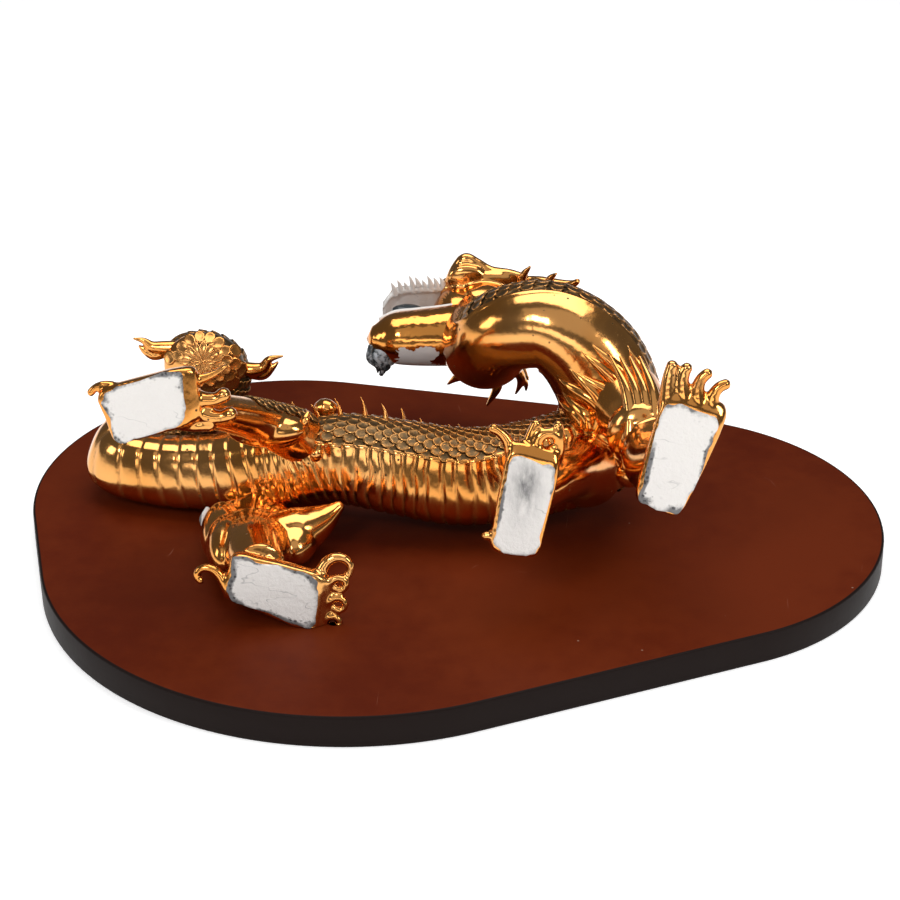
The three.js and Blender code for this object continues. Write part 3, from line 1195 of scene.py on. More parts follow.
@dataclass(frozen=True)
class BodyRelief:
    """Belly plates, folds and the bed the scales lie in."""

    plate_pitch: float = 14.5
    trunk_pitch: float = 8.8
    plate_slant: float = -0.1
    groove_depth: float = 1.0
    groove_width: float = 0.95
    swell: float = 0.1
    trunk_swell: float = 0.45
    fold_span: tuple[float, float] = (322.0, 366.0)
    fold_blend: float = 15.0
    fold_pitch: float = 7.0
    fold_depth: float = 1.1
    smooth_from: float = 596.0
    edge_width: float = 1.7
    edge_height: float = 0.6
    smooth_edge_height: float = 0.8
    bed_depth: float = 1.6
    flat_turn: float = math.radians(-22.0)
    flat_share: float = 0.84
    flat_hardness: float = 8.0
    flat_blend: float = 60.0
    plate_drift: Lumps = Lumps(70.0, 11, 0.8)
    fold_drift: Lumps = Lumps(40.0, 12, 1.4)
    fine_drift: Lumps = Lumps(60.0, 13, 3.5)
    unevenness: Lumps = Lumps(90.0, 14, 0.2)
    trunk_drift: Lumps = Lumps(24.0, 16, 1.3)

    def flattening(self, s: Vec, turn: Vec, radius: Vec) -> Vec:
        """How far the flattened belly of tail and trunk lies below the round section.

        Args:
            s: distance along the body.
            turn: angle from the belly.
            radius: plain radius there.

        Returns:
            The lift, zero or less.
        """
        facing = np.maximum(np.cos(turn - self.flat_turn), 0.0) / self.flat_share
        squeezed = (1.0 + facing ** self.flat_hardness) ** (-1.0 / self.flat_hardness)
        round_part = smooth(self.smooth_from - self.flat_blend, self.smooth_from, s)
        return radius * (squeezed - 1.0) * (1.0 - round_part)

    def lift(self, s: Vec, turn: Vec, radius: Vec, half: Vec, place: Vec) -> tuple[Vec, Vec]:
        """Lift and stain over the skin.

        Args:
            s: distance along the body.
            turn: angle from the belly.
            radius: plain radius there.
            half: half the belly's width as an angle.
            place: the skin's points.

        Returns:
            The lift and the stain.
        """
        first, last = self.fold_span
        middle = (first + last) / 2.0
        belly = 1.0 - smooth(-0.03, 0.05, np.abs(turn) - half)
        folds = smooth(first - self.fold_blend, first + self.fold_blend, s)
        folds = folds * (1.0 - smooth(last - self.fold_blend, last + self.fold_blend, s))
        plain = smooth(self.smooth_from - 40.0, self.smooth_from + 10.0, s)
        trunk = smooth(last - 10.0, last + 20.0, s) * (1.0 - plain)
        drift = self.plate_drift.at(place) + folds * self.fold_drift.at(place)
        drift = drift + smooth(middle, middle + 40.0, s) * self.trunk_drift.at(place)
        pitch = np.where(s > middle, self.trunk_pitch, self.plate_pitch)
        phase = (s - middle + self.plate_slant * turn * radius + drift) / pitch
        near = np.abs(phase - np.round(phase)) * pitch
        groove = np.exp(-(near / self.groove_width) ** 2) * (1.0 - plain * 0.93)
        arch = 1.0 - (2.0 * near / pitch - 1.0) ** 2
        swell = arch * (self.swell + self.trunk_swell * trunk) * (1.0 - plain)
        fine = (s + self.fine_drift.at(place)) / self.fold_pitch
        ripple = -np.abs(np.sin(math.pi * fine)) ** 0.8 * folds * self.fold_depth
        from_edge = ((np.abs(turn) - half) * radius + 1.0) / self.edge_width
        edge = np.exp(-from_edge ** 2) * (self.edge_height + self.smooth_edge_height * plain)
        lift = belly * (swell - groove * self.groove_depth + ripple) + edge
        lift = lift - (1.0 - belly) * self.bed_depth
        lift = lift + self.flattening(s, turn, radius)
        lift = lift + self.unevenness.at(place)
        return lift, (1.0 - belly) * 0.95 + belly * groove * 0.35


@dataclass
class Body:
    """Tail, trunk and neck as one swept skin with scales along the back."""

    stations: tuple[Station, ...] = (
        Station(-203, 118, 101, 5, (-1, 0.3, 0.2), 40),
        Station(-211, 122, 111, 12, (-0.6, 0.6, 0.2), 40),
        Station(-193, 126, 113, 15, (0, 1, -0.2), 40),
        Station(-175, 126, 98, 17, (0.2, 1, 0), 40),
        Station(-181, 122, 74, 19, (0, 1, 0), 40),
        Station(-214, 110, 56, 22, (0, 1, 0.2), 42),
        Station(-246, 88, 57, 24, (-0.6, 0.8, 0), 80),
        Station(-256, 56, 54, 26, (-1, -0.1, 0), 112),
        Station(-222, 40, 52, 26.5, (-0.25, -0.96, -0.14), 124),
        Station(-172, 32, 55, 29, (0, -0.99, -0.14), 122),
        Station(-122, 22, 66, 33, (0, -0.99, -0.14), 84),
        Station(-81, 12, 77, 33.5, (0, -0.99, -0.14), 56),
        Station(-40, 5, 74, 35, (0, -0.99, -0.14), 56),
        Station(8, 0, 69, 36, (0, -0.99, -0.14), 57),
        Station(65, 12, 71, 36, (0, -0.98, 0.1), 60),
        Station(105, 28, 79, 38, (0.1, -0.93, 0.35), 62),
        Station(116, 38, 108, 39, (-0.17, -0.87, 0.46), 70),
        Station(102, 46, 145, 37, (-0.245, -1.0, 0.252), 72),
        Station(71, 54, 166, 33, (0, -1, -0.04), 76),
        Station(38, 64, 158, 32, (0.25, -0.95, -0.05), 80),
        Station(24, 84, 133, 31, (-0.5, -0.8, -0.3), 104),
        Station(20, 112, 128, 30, (-0.8, -0.3, -0.5), 110),
        Station(22, 140, 127, 27, (-1, -0.1, -0.1), 78),
    )
    step: float = 1.15
    sides: int = 112
    relief: BodyRelief = field(default_factory=BodyRelief)
    scale_pitch: float = 6.1
    scale_width: float = 7.4
    scale_size: Vec = field(default_factory=lambda: vec(9.0, 8.3, 3.1))
    scale_seat: float = 0.4
    full_scale_radius: float = 33.0
    scale_growth: tuple[float, float] = (0.62, 1.05)
    ease: float = 14.0

    def __post_init__(self) -> None:
        """Samples the swept path."""
        self.tube = Tube(self.stations, self.step, self.ease)

    def build(self, gold: bpy.types.Material) -> bpy.types.Object:
        """The skin.

        Args:
            gold: its material.

        Returns:
            The object.
        """

        def relief(s: Vec, turn: Vec, radius: Vec) -> tuple[Vec, Vec]:
            """Relief for one grid of the skin.

            Args:
                s: distances along the body.
                turn: angles from the belly.
                radius: plain radii there.

            Returns:
                The lift and the stain.
            """
            half = np.radians(self.tube.at(s, "half"))
            place = self.tube.skin(s, turn, np.zeros_like(s))
            return self.relief.lift(s, turn, radius, half, place)

        return self.tube.draft(self.sides, relief).object("dragon_body", gold)

    def scales(self) -> Spots:
        """Staggered rows of scales over everything but the belly.

        Returns:
            The places.
        """
        spots = Spots()
        rows = int(self.tube.length / self.scale_pitch)
        for row in range(2, rows - 3):
            where = np.array([row * self.scale_pitch])
            radius = self.tube.at(where, "radius")
            half = float(np.radians(self.tube.at(where, "half"))[0])
            grow = float(np.clip(radius[0] / self.full_scale_radius, *self.scale_growth))
            span = 2.0 * (math.pi - half)
            count = max(int(round(span * float(radius[0]) / (self.scale_width * grow))), 4)
            for i in range(count):
                share = (i + 0.5 * (row % 2) + 0.25) / count
                turn = np.array([half + span * share])
                wrapped = (turn + math.pi) % (2.0 * math.pi) - math.pi
                low = self.relief.flattening(where, wrapped, radius)
                at = self.tube.skin(where, turn, low - self.relief.bed_depth + self.scale_seat)[0]
                along = self.tube.at(where, "tangent")[0]
                spots.add(at, self.tube.out(where, turn)[0], along, self.scale_size * grow)
        return spots


@dataclass(frozen=True)
class Coil:
    """The closed dome the tip of the tail is curled into, its scales fanning from the middle."""

    at: Vec = field(default_factory=lambda: vec(-193, 116, 103))
    size: Vec = field(default_factory=lambda: vec(31, 17, 27))
    middle: tuple[float, float] = (0.0, 0.38)
    spokes: int = 15
    rings: int = 5
    first_ring: float = 0.16
    ring_pitch: float = 0.215
    scale_length: float = 9.6
    scale_height: float = 4.2
    narrowest: float = 3.0
    mean_size: float = 28.0
    overlap: float = 1.15
    covered: float = 0.97

    def build(self, gold: bpy.types.Material) -> bpy.types.Object:
        """The dome with a smooth rolled rim.

        Args:
            gold: its material.

        Returns:
            The object.
        """
        draft = egg(self.at, self.size, 28)
        points = draft.points[0]
        flat = (points - self.at) / self.size
        centre = np.hypot(flat[:, 0] - self.middle[0], flat[:, 2] - self.middle[1])
        smooth_side = smooth(-0.25, -0.55, flat[:, 0])
        draft.numbers["stain"] = [np.clip(0.95 * smooth(1.25, 1.0, centre) - smooth_side, 0.0, 1.0)]
        return draft.object("dragon_tail_coil", gold)

    def scales(self) -> Spots:
        """Scales in rings round the middle, on the side of the soles.

        Returns:
            The places.
        """
        spots = Spots()
        for ring in range(self.rings):
            far = self.first_ring + self.ring_pitch * ring
            for i in range(self.spokes):
                lon = 2.0 * math.pi * (i + 0.5 * (ring % 2)) / self.spokes
                x = self.middle[0] + far * math.cos(lon)
                z = self.middle[1] + far * math.sin(lon)
                on_smooth_side = x < -0.5 and z < 0.3
                if x * x + z * z > self.covered or on_smooth_side:
                    continue
                ball = np.array([x, -math.sqrt(1.0 - x * x - z * z), z])
                out = unit(ball / self.size)
                wide = far * self.mean_size * 2.0 * math.pi / self.spokes * self.overlap
                inward = np.array([-math.cos(lon), 0.0, -math.sin(lon)])
                size = vec(self.scale_length, max(wide, self.narrowest), self.scale_height)
                spots.add(self.at + ball * self.size, out, inward, size)
        return spots


# --------------------------------------------------------------------------- legs and feet


# How far the soles lean back from upright.
SOLE_LEAN = math.radians(12.0)


@dataclass(frozen=True)
class Claw:
    """A claw leaving the foot at (along, across) and bending over by its hook.

    It starts at its depth behind the sole and tapers from base to tip, with a rounded knob at the end.
    Heading and hook are in degrees, and a larger curl keeps the hook nearer to the tip.
    """

    along: float
    across: float
    heading: float
    length: float
    hook: float
    base: float = 4.6
    tip: float = 2.4
    depth: float = 9.0
    rise: float = 0.0
    knob: float = 2.9
    curl: float = 1.6


@dataclass(frozen=True)
class Foot:
    """A block foot: its flat bare sole, the gold round it and its claws."""

    x: float
    y: float
    z: float
    turn: float
    corners: tuple[tuple[float, float], ...]
    claws: tuple[Claw, ...]
    seed: int
    smear_at: Optional[tuple[float, float]] = None
    smear_size: tuple[float, float] = (20.0, 10.0)
    toe_cap: float = 8.0
    height: float = 21.0
    squareness: float = 6.5
    fine_wave: float = 9.0
    broad_wave: float = 34.0
    broad_share: float = 1.6
    block_raggedness: float = 0.25
    sole_raggedness: float = 0.95
    sole_margin: float = 0.2
    block_sides: int = 72
    sole_sides: int = 120
    sole_depth: float = 1.5
    sole_bulge: float = 0.35

    def axes(self) -> tuple[Vec, Vec, Vec, Vec]:
        """Where the sole is, and the ways of its toes, across it and out of it.

        Returns:
            The place and the three ways.
        """
        turn = math.radians(self.turn)
        normal = vec(0.0, -math.cos(SOLE_LEAN), math.sin(SOLE_LEAN))
        rise = vec(0.0, math.sin(SOLE_LEAN), math.cos(SOLE_LEAN))
        toes = vec(math.cos(turn), 0.0, 0.0) + math.sin(turn) * rise
        return vec(self.x, self.y, self.z), toes, np.cross(normal, toes), normal

    def place(self, along: Vec, across: Vec, out: Vec) -> Vec:
        """Foot coordinates as points.

        Args:
            along: towards the toes.
            across: across the foot.
            out: out of the sole.

        Returns:
            Rows of points.
        """
        at, *ways = self.axes()
        for far, way in zip((along, across, out), ways):
            at = at + np.multiply.outer(far, way)
        return at

    def outline(self, count: int, grow: float, toe: float, ragged: float) -> tuple[Vec, Vec]:
        """The sole's rounded four-cornered outline.

        Args:
            count: points round it.
            grow: how far outside the sole.
            toe: how much further at the toes.
            ragged: unevenness of the line.

        Returns:
            Along and across.
        """
        turn = np.linspace(0.0, 2.0 * math.pi, count, endpoint=False)
        power = 2.0 / self.squareness
        a = np.sign(np.cos(turn)) * np.abs(np.cos(turn)) ** power
        b = np.sign(np.sin(turn)) * np.abs(np.sin(turn)) ** power
        (hu0, hv0), (hu1, hv1), (tu0, tv0), (tu1, tv1) = self.corners
        heel = (1.0 - a) / 2.0
        low = (1.0 - b) / 2.0
        u = heel * (low * hu0 + (1 - low) * hu1) + (1 - heel) * (low * tu0 + (1 - low) * tu1)
        v = heel * (low * hv0 + (1 - low) * hv1) + (1 - heel) * (low * tv0 + (1 - low) * tv1)
        away = np.column_stack([a, b])
        fine_place = np.column_stack([u, v, np.full(count, 7.0 * self.seed)])
        broad_place = np.column_stack([u, v, np.full(count, 3.0 * self.seed)])
        line = wave_noise(fine_place, self.fine_wave, self.seed)
        line = line + wave_noise(broad_place, self.broad_wave, self.seed + 1) * self.broad_share
        u = u + away[:, 0] * (grow + ragged * line) + np.clip(a, 0.0, 1.0) * toe
        v = v + away[:, 1] * (grow + ragged * line)
        return u, v

    def block(self) -> Draft:
        """The gold block behind the sole.

        Returns:
            The draft.
        """
        count = self.block_sides
        back = -self.height
        # Out of the sole, growth of the outline and share of the toe cap, from the sole inwards.
        levels = (
            (-0.6, 0.6, -0.4),
            (-1.6, 2.0, 0.1),
            (-5.0, 2.4, 0.8),
            (-10.0, 2.2, 1.0),
            (-15.0, 0.5, 0.9),
            (back, -4.5, 0.4),
        )
        points = []
        for out, grow, cap in levels:
            u, v = self.outline(count, grow, self.toe_cap * cap, self.block_raggedness)
            points.append(self.place(u, v, np.full(count, out)))
        ends = np.array([levels[0][0], back - 1.0])
        points.append(self.place(np.zeros(2), np.zeros(2), ends))
        return Draft().add(np.vstack(points), ring_faces(len(levels), count))

    def claw_drafts(self) -> list[Draft]:
        """The claws as closed tapered tubes with round tips.

        Returns:
            The drafts.
        """
        steps = 18
        drafts = []
        for claw in self.claws:
            u, v, w = claw.along, claw.across, -claw.depth
            stations = []
            for i in range(steps + 1):
                share = i / steps
                radius = claw.base + (claw.tip - claw.base) * share ** 0.8
                radius = radius + (claw.knob - claw.tip) * smooth(0.8, 1.0, np.array(share))
                at = self.place(np.array([u]), np.array([v]), np.array([w]))[0]
                stations.append(Station(*at, float(radius), tuple(self.axes()[3])))
                bend = math.radians(claw.heading + claw.hook * share ** claw.curl)
                u += math.cos(bend) * claw.length / steps
                v += math.sin(bend) * claw.length / steps
                w += claw.rise / steps
            drafts.append(Tube(stations, step=1.2, ease=2.0).draft(sides=18))
            tip = stations[-1]
            drafts.append(egg(tip.at, np.full(3, tip.radius * 1.08), 8))
        return drafts

    def sole(self) -> Draft:
        """The bare sole as a thin plate with a ragged edge.

        Returns:
            The draft.
        """
        count = self.sole_sides
        shares = (1.0, 1.0, 0.96, 0.9, 0.8, 0.65, 0.45, 0.22)
        points = []
        edge = []
        smear = []
        for level, share in enumerate(shares):
            u, v = self.outline(count, self.sole_margin, 0.0, self.sole_raggedness)
            u, v = u * share, v * share
            lift = -self.sole_depth
            if level > 0:
                lift = self.sole_bulge * (1.0 - share) ** 0.5 + (0.1 if level > 1 else -0.15)
            points.append(self.place(u, v, np.full(count, lift)))
            edge.append(np.full(count, share))
            smear.append(self.smeared(u, v))
        ends = np.array([-self.sole_depth, self.sole_bulge + 0.1])
        points.append(self.place(np.zeros(2), np.zeros(2), ends))
        edge.append(np.zeros(2))
        smear.append(np.zeros(2))
        faces = ring_faces(len(shares), count)
        return Draft().add(np.vstack(points), faces, edge=np.concatenate(edge), smear=np.concatenate(smear))

    def smeared(self, u: Vec, v: Vec) -> Vec:
        """How dirty the sole is.

        Args:
            u: places towards the toes.
            v: places across the foot.

        Returns:
            1 in the middle of the dirty patch, 0 away from it.
        """
        if self.smear_at is None:
            return np.zeros(len(u))
        along = (u - self.smear_at[0]) / self.smear_size[0]
        across = (v - self.smear_at[1]) / self.smear_size[1]
        return np.exp(-(along ** 2 + across ** 2))


@dataclass(frozen=True)
class Leg:
    """One leg: its bones as a swept limb, with extra muscle lumps, ending in a foot."""

    name: str
    bones: tuple[Station, ...]
    foot: Foot
    lumps: tuple[tuple[Vec, Vec], ...] = ()
    extras: tuple[tuple[Station, ...], ...] = ()
    scaled_length: float = 0.0
    scale_pitch: float = 5.6
    scale_size: tuple[float, float, float] = (9.0, 7.6, 3.0)
    scales_around: int = 18
    scaled_side: float = 0.62
    step: float = 2.5
    ease: float = 12.0
    sides: int = 40
    skin_grid: float = 1.25
    softening: int = 5

    def scales(self) -> Spots:
        """Rows of scales along the limb's upper side, from the hip on.

        Returns:
            The places.
        """
        spots = Spots()
        tube = Tube(self.bones, self.step, self.ease)
        upper = unit(vec(0.0, 0.5, 0.87))
        for row in range(1, int(self.scaled_length / self.scale_pitch)):
            where = np.array([row * self.scale_pitch])
            for i in range(self.scales_around):
                turn = np.array([2.0 * math.pi * (i + 0.5 * (row % 2)) / self.scales_around])
                out = tube.out(where, turn)[0]
                if float(out @ upper) > self.scaled_side:
                    at = tube.skin(where, turn, np.array([0.2]))[0]
                    spots.add(at, out, -tube.at(where, "tangent")[0], vec(*self.scale_size))
        return spots

    def build(self, gold: bpy.types.Material) -> bpy.types.Object:
        """Leg, foot and claws as one skin.

        Args:
            gold: its material.

        Returns:
            The object.
        """
        limb = Tube(self.bones, self.step, self.ease).draft(self.sides)
        drafts = [limb, self.foot.block(), *self.foot.claw_drafts()]
        drafts.extend(egg(at, size) for at, size in self.lumps)
        drafts.extend(Tube(stations, step=2.0, ease=8.0).draft(sides=28) for stations in self.extras)
        leg = merged(drafts).object(f"dragon_{self.name}", gold)
        Finisher.rested(Finisher.fused(leg, self.skin_grid, self.softening))
        Finisher.store(leg, "stain", lambda p: np.clip(wave_noise(p, 30.0, 5) - 0.9, 0.0, 1.0) * 0.5)
        return leg

    def build_sole(self, ceramic: bpy.types.Material) -> bpy.types.Object:
        """The bare sole, made of this material."""
        return Finisher.rested(self.foot.sole().object(f"dragon_{self.name}_sole", ceramic))


def legs() -> list[Leg]:
    """The four legs as they lie.

    Returns:
        Right rear, left rear, left front and right front.
    """
    right_rear = Leg(
        "right_rear",
        (
            Station(-112, 12, 94, 20),
            Station(-146, -16, 124, 15),
            Station(-180, -66, 158, 12),
            Station(-204, -92, 174, 16),
        ),
        Foot(
            x=-211,
            y=-106,
            z=180,
            turn=7,
            corners=((-22, -23), (-31, 12), (28, -15), (29, 22)),
            claws=(
                Claw(30, 11, 4, 34, 40, 4.8, 1.2, 10, -4, 1.0),
                Claw(28, 3, -30, 27, 70, 6.6, 4.6, 12, 0, 5.2, 2.2),
                Claw(28, -7, -34, 30, 60, 6.6, 4.4, 12, 0, 5.2, 2.2),
                Claw(16, -15, -24, 26, 30, 6.2, 4.2, 13, 0, 4.8),
                Claw(-20, 15, 160, 17, 80, 3.8, 2.4, 8),
            ),
            seed=21,
        ),
        lumps=(
            (vec(-136, -8, 112), vec(30, 15, 13)),
        ),
        scaled_length=62.0,
    )
    left_rear = Leg(
        "left_rear",
        (
            Station(-146, 0, 40, 15),
            Station(-147, -34, 41, 16),
            Station(-146, -72, 50, 22),
            Station(-137, -112, 55, 19),
        ),
        Foot(
            x=-129,
            y=-134,
            z=54.8,
            turn=-17,
            corners=((-28, -15), (-28, 14), (39, -25), (32, 16)),
            claws=(
                Claw(33, 14, 92, 42, -250, 5.2, 2.4, 11, 0, 2.8, 1.5),
                Claw(39, 10, 66, 27, -290, 3.4, 2.1, 8, 0, 2.6),
                Claw(42, -4, 66, 28, -290, 3.4, 2.1, 7, 0, 2.6),
                Claw(43, -17, 62, 24, -260, 3.4, 2.1, 7, 0, 2.6),
                Claw(-23, -16, 131, 42, 240, 5.2, 2.2, 6, 0, 2.6, 2.8),
            ),
            seed=22,
        ),
        lumps=(
            (vec(-150, -24, 40), vec(36, 34, 15.5)),
            (vec(-146, -60, 46), vec(30, 40, 20)),
            (vec(-170, -38, 43), vec(15, 33, 18)),
            (vec(-164, -68, 49), vec(14, 30, 19)),
            (vec(-118, -46, 42), vec(20, 28, 17.5)),
        ),
        extras=(
            (
                Station(-136, -50, 44, 18),
                Station(-112, -42, 46, 19),
                Station(-96, -35, 52, 12),
                Station(-82, -29, 61, 3),
            ),
        ),
    )
    left_front = Leg(
        "left_front",
        (
            Station(97, 10, 70, 30),
            Station(84, -38, 92, 19),
            Station(66, -80, 108, 18),
            Station(52, -105, 112, 17),
        ),
        Foot(
            x=47,
            y=-121,
            z=109,
            turn=81,
            corners=((-33, -15), (-33, 17), (33, -19), (36, 15)),
            claws=(
                Claw(32, 12, 20, 26, 60, 5.4, 3.2, 10, 0, 3.6),
                Claw(34, 2, 6, 24, -30, 5.2, 3.2, 12, 0, 3.6),
                Claw(34, -6, 30, 42, -300, 5.2, 3.2, 9, -2, 3.4),
                Claw(34, -17, -10, 26, 40, 5.4, 3.0, 12, 0, 3.4),
                Claw(-24, 15, 90, 7, 20, 3.4, 3.0, 5),
            ),
            seed=23,
            smear_at=(16, 1),
        ),
    )
    right_front = Leg(
        "right_front",
        (
            Station(124, 20, 122, 30),
            Station(140, -28, 116, 23),
            Station(141, -70, 116, 21),
            Station(152, -98, 134, 19),
        ),
        Foot(
            x=154,
            y=-113,
            z=144,
            turn=66,
            corners=((-38, -17), (-38, 14), (37, -17), (32, 27)),
            claws=(
                Claw(28, 22, 24, 29, -20, 7.0, 4.0, 8, 0, 4.0, 2.4),
                Claw(32, 10, 36, 29, -46, 7.0, 3.8, 8, 0, 3.9, 2.4),
                Claw(33, -2, 42, 31, -84, 6.8, 3.7, 8, 0, 3.8, 2.2),
                Claw(31, -12, 36, 31, -96, 6.6, 3.6, 8, 0, 3.7, 2.2),
            ),
            seed=24,
        ),
        lumps=(
            (vec(126, -40, 92), vec(10, 9, 10)),
            (vec(133, -30, 120), vec(24, 16, 26)),
        ),
    )
    return [right_rear, left_rear, left_front, right_front]


# --------------------------------------------------------------------------- the head


# Height of the head's middle plane.
HEAD_LEVEL = 127.0
Spot = tuple[float, float, float]
FRONT: Spot = (0.0, -1.0, 0.0)
BACK: Spot = (0.0, 1.0, 0.0)


def strand(points: Sequence[Spot], thick: Sequence[float], face: Spot = FRONT) -> Draft:
    """A tapered tube through points."""
    stations = [Station(*p, r, face) for p, r in zip(points, thick)]
    return Tube(stations, step=1.6, ease=3.0).draft(sides=16)


@dataclass(frozen=True)
class Bulge:
    """A swelling found on both sides of the head: along, back and out from its middle, and its half sizes."""

    x: float
    y: float
    out: float
    size: Spot
    rows: int = 14

    def drafts(self) -> list[Draft]:
        """One egg on each side."""
        levels = (HEAD_LEVEL + self.out, HEAD_LEVEL - self.out)
        return [egg(vec(self.x, self.y, level), vec(*self.size), self.rows) for level in levels]


@dataclass(frozen=True)
class WornSpot:
    """A round patch on the jaw where the lustre is thinner, or thicker when its strength is negative."""

    x: float
    z: float
    width: float
    height: float
    strength: float

    def at(self, p: Vec) -> Vec:
        """Its strength at rows of points."""
        far = ((p[:, 0] - self.x) / self.width) ** 2 + ((p[:, 2] - self.z) / self.height) ** 2
        return np.exp(-far) * self.strength


@dataclass(frozen=True)
class Head:
    """The head lying on its crown: lower jaw towards the soles, jaws open towards the tail."""

    jaw: tuple[Station, ...] = (
        Station(-63, 113, HEAD_LEVEL, 8),
        Station(-57, 113, HEAD_LEVEL, 15),
        Station(-46, 114, HEAD_LEVEL, 20),
        Station(-30, 115, HEAD_LEVEL, 21.5),
        Station(-6, 118, HEAD_LEVEL, 23),
        Station(18, 124, HEAD_LEVEL, 25),
    )
    cranium: tuple[Vec, Vec] = (vec(24, 150, HEAD_LEVEL), vec(31, 32, 30))
    cheek: tuple[Vec, Vec] = (vec(4, 146, HEAD_LEVEL), vec(22, 30, 26))
    jowl: Bulge = Bulge(10, 158, 30, (16, 5, 12))
    temple: Bulge = Bulge(30, 158, 28, (22, 5, 8))
    eye: Bulge = Bulge(-2, 180, 15, (9, 7, 7))
    nostril: Bulge = Bulge(-44, 176, 8, (7, 7, 6), 12)
    # Small points behind the cheeks: along, out from the middle and how far they stand.
    barbs: tuple[Spot, ...] = ((52, 38, 11), (72, 34, 9))
    mane_locks: int = 5
    mane_start: float = 30.0
    mane_pitch: float = 9.0
    palate: float = 163.0
    # Along the upper jaw, and half its width there.
    half_widths: tuple[tuple[float, float], ...] = (
        (-56, 3),
        (-52, 12),
        (-44, 19),
        (-30, 21),
        (-6, 22),
        (16, 24),
    )
    bridge_height: float = 14.0
    bridge_stretch: Spot = (1.0, 0.66, 1.2)
    worn: tuple[WornSpot, ...] = (WornSpot(-20, 124, 9, 9, 0.75), WornSpot(-8, 120, 8, 11, -0.9))
    gum_height: float = 2.4
    palate_depth: float = 7.0
    palate_thickness: float = 9.0
    lip_radius: float = 1.7
    # Turn of the lips round the jaw, from straight away from the soles.
    lip_turn: float = math.radians(58.0)
    tooth_count: int = 9
    tooth_span: tuple[float, float] = (-46.0, -8.0)
    tooth_height: float = 11.5
    tooth_change: float = 1.5
    tooth_length: float = 13.0
    tooth_width: float = 8.0
    long_tooth: int = 3
    long_tooth_height: float = 16.0
    hair_count: int = 9
    fin: tuple[Station, ...] = (
        Station(-8, 162, 141, 3.4),
        Station(-4, 163, 152, 3.6),
        Station(2, 165, 164, 4.2),
        Station(9, 166, 171, 4.6),
        Station(17, 165, 168, 4.0),
        Station(28, 163, 162, 4.0),
        Station(44, 160, 160, 4.4),
        Station(56, 158, 158, 3.0),
    )
    horn: tuple[Station, ...] = (
        Station(30, 170, 142, 6.5),
        Station(48, 166, 150, 5.0),
        Station(66, 156, 156, 4.2),
        Station(84, 146, 158, 3.8),
        Station(92, 142, 160, 3.4),
        Station(96, 140, 164, 2.0),
    )

    @staticmethod
    def mirrored(stations: Sequence[Station]) -> list[Station]:
        """The same stations on the head's other side."""
        return [Station(s.x, s.y, 2 * HEAD_LEVEL - s.z, s.radius, s.belly) for s in stations]

    def skull(self, gold: bpy.types.Material) -> bpy.types.Object:
        """Skull, cheeks, ears and horns as one skin.

        Args:
            gold: its material.

        Returns:
            The object.
        """
        drafts = [egg(*self.cranium, rows=24), egg(*self.cheek, rows=24), self.snout_shell()]
        for stations in (self.fin, self.horn):
            drafts.append(Tube(stations, step=2.0, ease=5.0).draft(sides=24))
            drafts.append(Tube(self.mirrored(stations), step=2.0, ease=5.0).draft(sides=24))
        for bulge in (self.jowl, self.temple, self.eye):
            drafts.extend(bulge.drafts())
        for side in (1, -1):
            for x, out, tall in self.barbs:
                z = HEAD_LEVEL + side * out
                path = [(x, 146, z - side * 6), (x + 2, 143, z + side * 3), (x + 7, 140, z + side * tall)]
                drafts.append(strand(path, (4.2, 3.2, 1.0)))
            for i in range(self.mane_locks):
                x = self.mane_start + self.mane_pitch * i
                z = HEAD_LEVEL + side * (8 + 5 * (i % 2))
                path = [(x - 14, 172, z), (x, 182, z + 2 * side)]
                path += [(x + 14, 181, z + 5 * side), (x + 26, 175, z + 3 * side)]
                drafts.append(strand(path, (5, 4.5, 3.2, 1.4), BACK))
        return Finisher.fused(merged(drafts).object("dragon_skull", gold), voxel=1.15, rounds=4)

    def snout_shell(self) -> Draft:
        """The outer side of the upper jaw: a rounded, narrowing bridge with nostril swellings.

        Returns:
            The draft.
        """
        y = self.palate + self.bridge_height
        rows = [Station(x + 4, y, HEAD_LEVEL, min(half, 13), BACK) for x, half in self.half_widths]
        draft = Tube(rows, step=2.0, ease=6.0).draft(sides=30)
        middle = np.array([0.0, y, HEAD_LEVEL])
        draft.points[0] = (draft.points[0] - middle) * np.array(self.bridge_stretch) + middle
        return merged([draft, *self.nostril.drafts()])

    def lower_jaw(self, lustre: bpy.types.Material) -> bpy.types.Object:
        """The rounded lower jaw, worn through to the white in places.

        Args:
            lustre: its material.

        Returns:
            The object.
        """
        jaw = Tube(self.jaw, step=1.6, ease=8.0).draft(sides=72).object("dragon_lower_jaw", lustre)

        def wear(p: Vec) -> Vec:
            """How likely the white shows: most along the jaw's lower half, away from its tip.

            Args:
                p: rows of points.

            Returns:
                Numbers from 0 to 1.
            """
            low = smooth(133.0, 118.0, p[:, 2] + 0.18 * (p[:, 0] + 20))
            back = smooth(-52.0, -38.0, p[:, 0])
            outer = 0.85 * smooth(125.0, 112.0, p[:, 1])
            return np.clip(low * back + sum(spot.at(p) for spot in self.worn), 0.0, 1.0) * outer

        Finisher.store(jaw, "wear", wear)
        return jaw

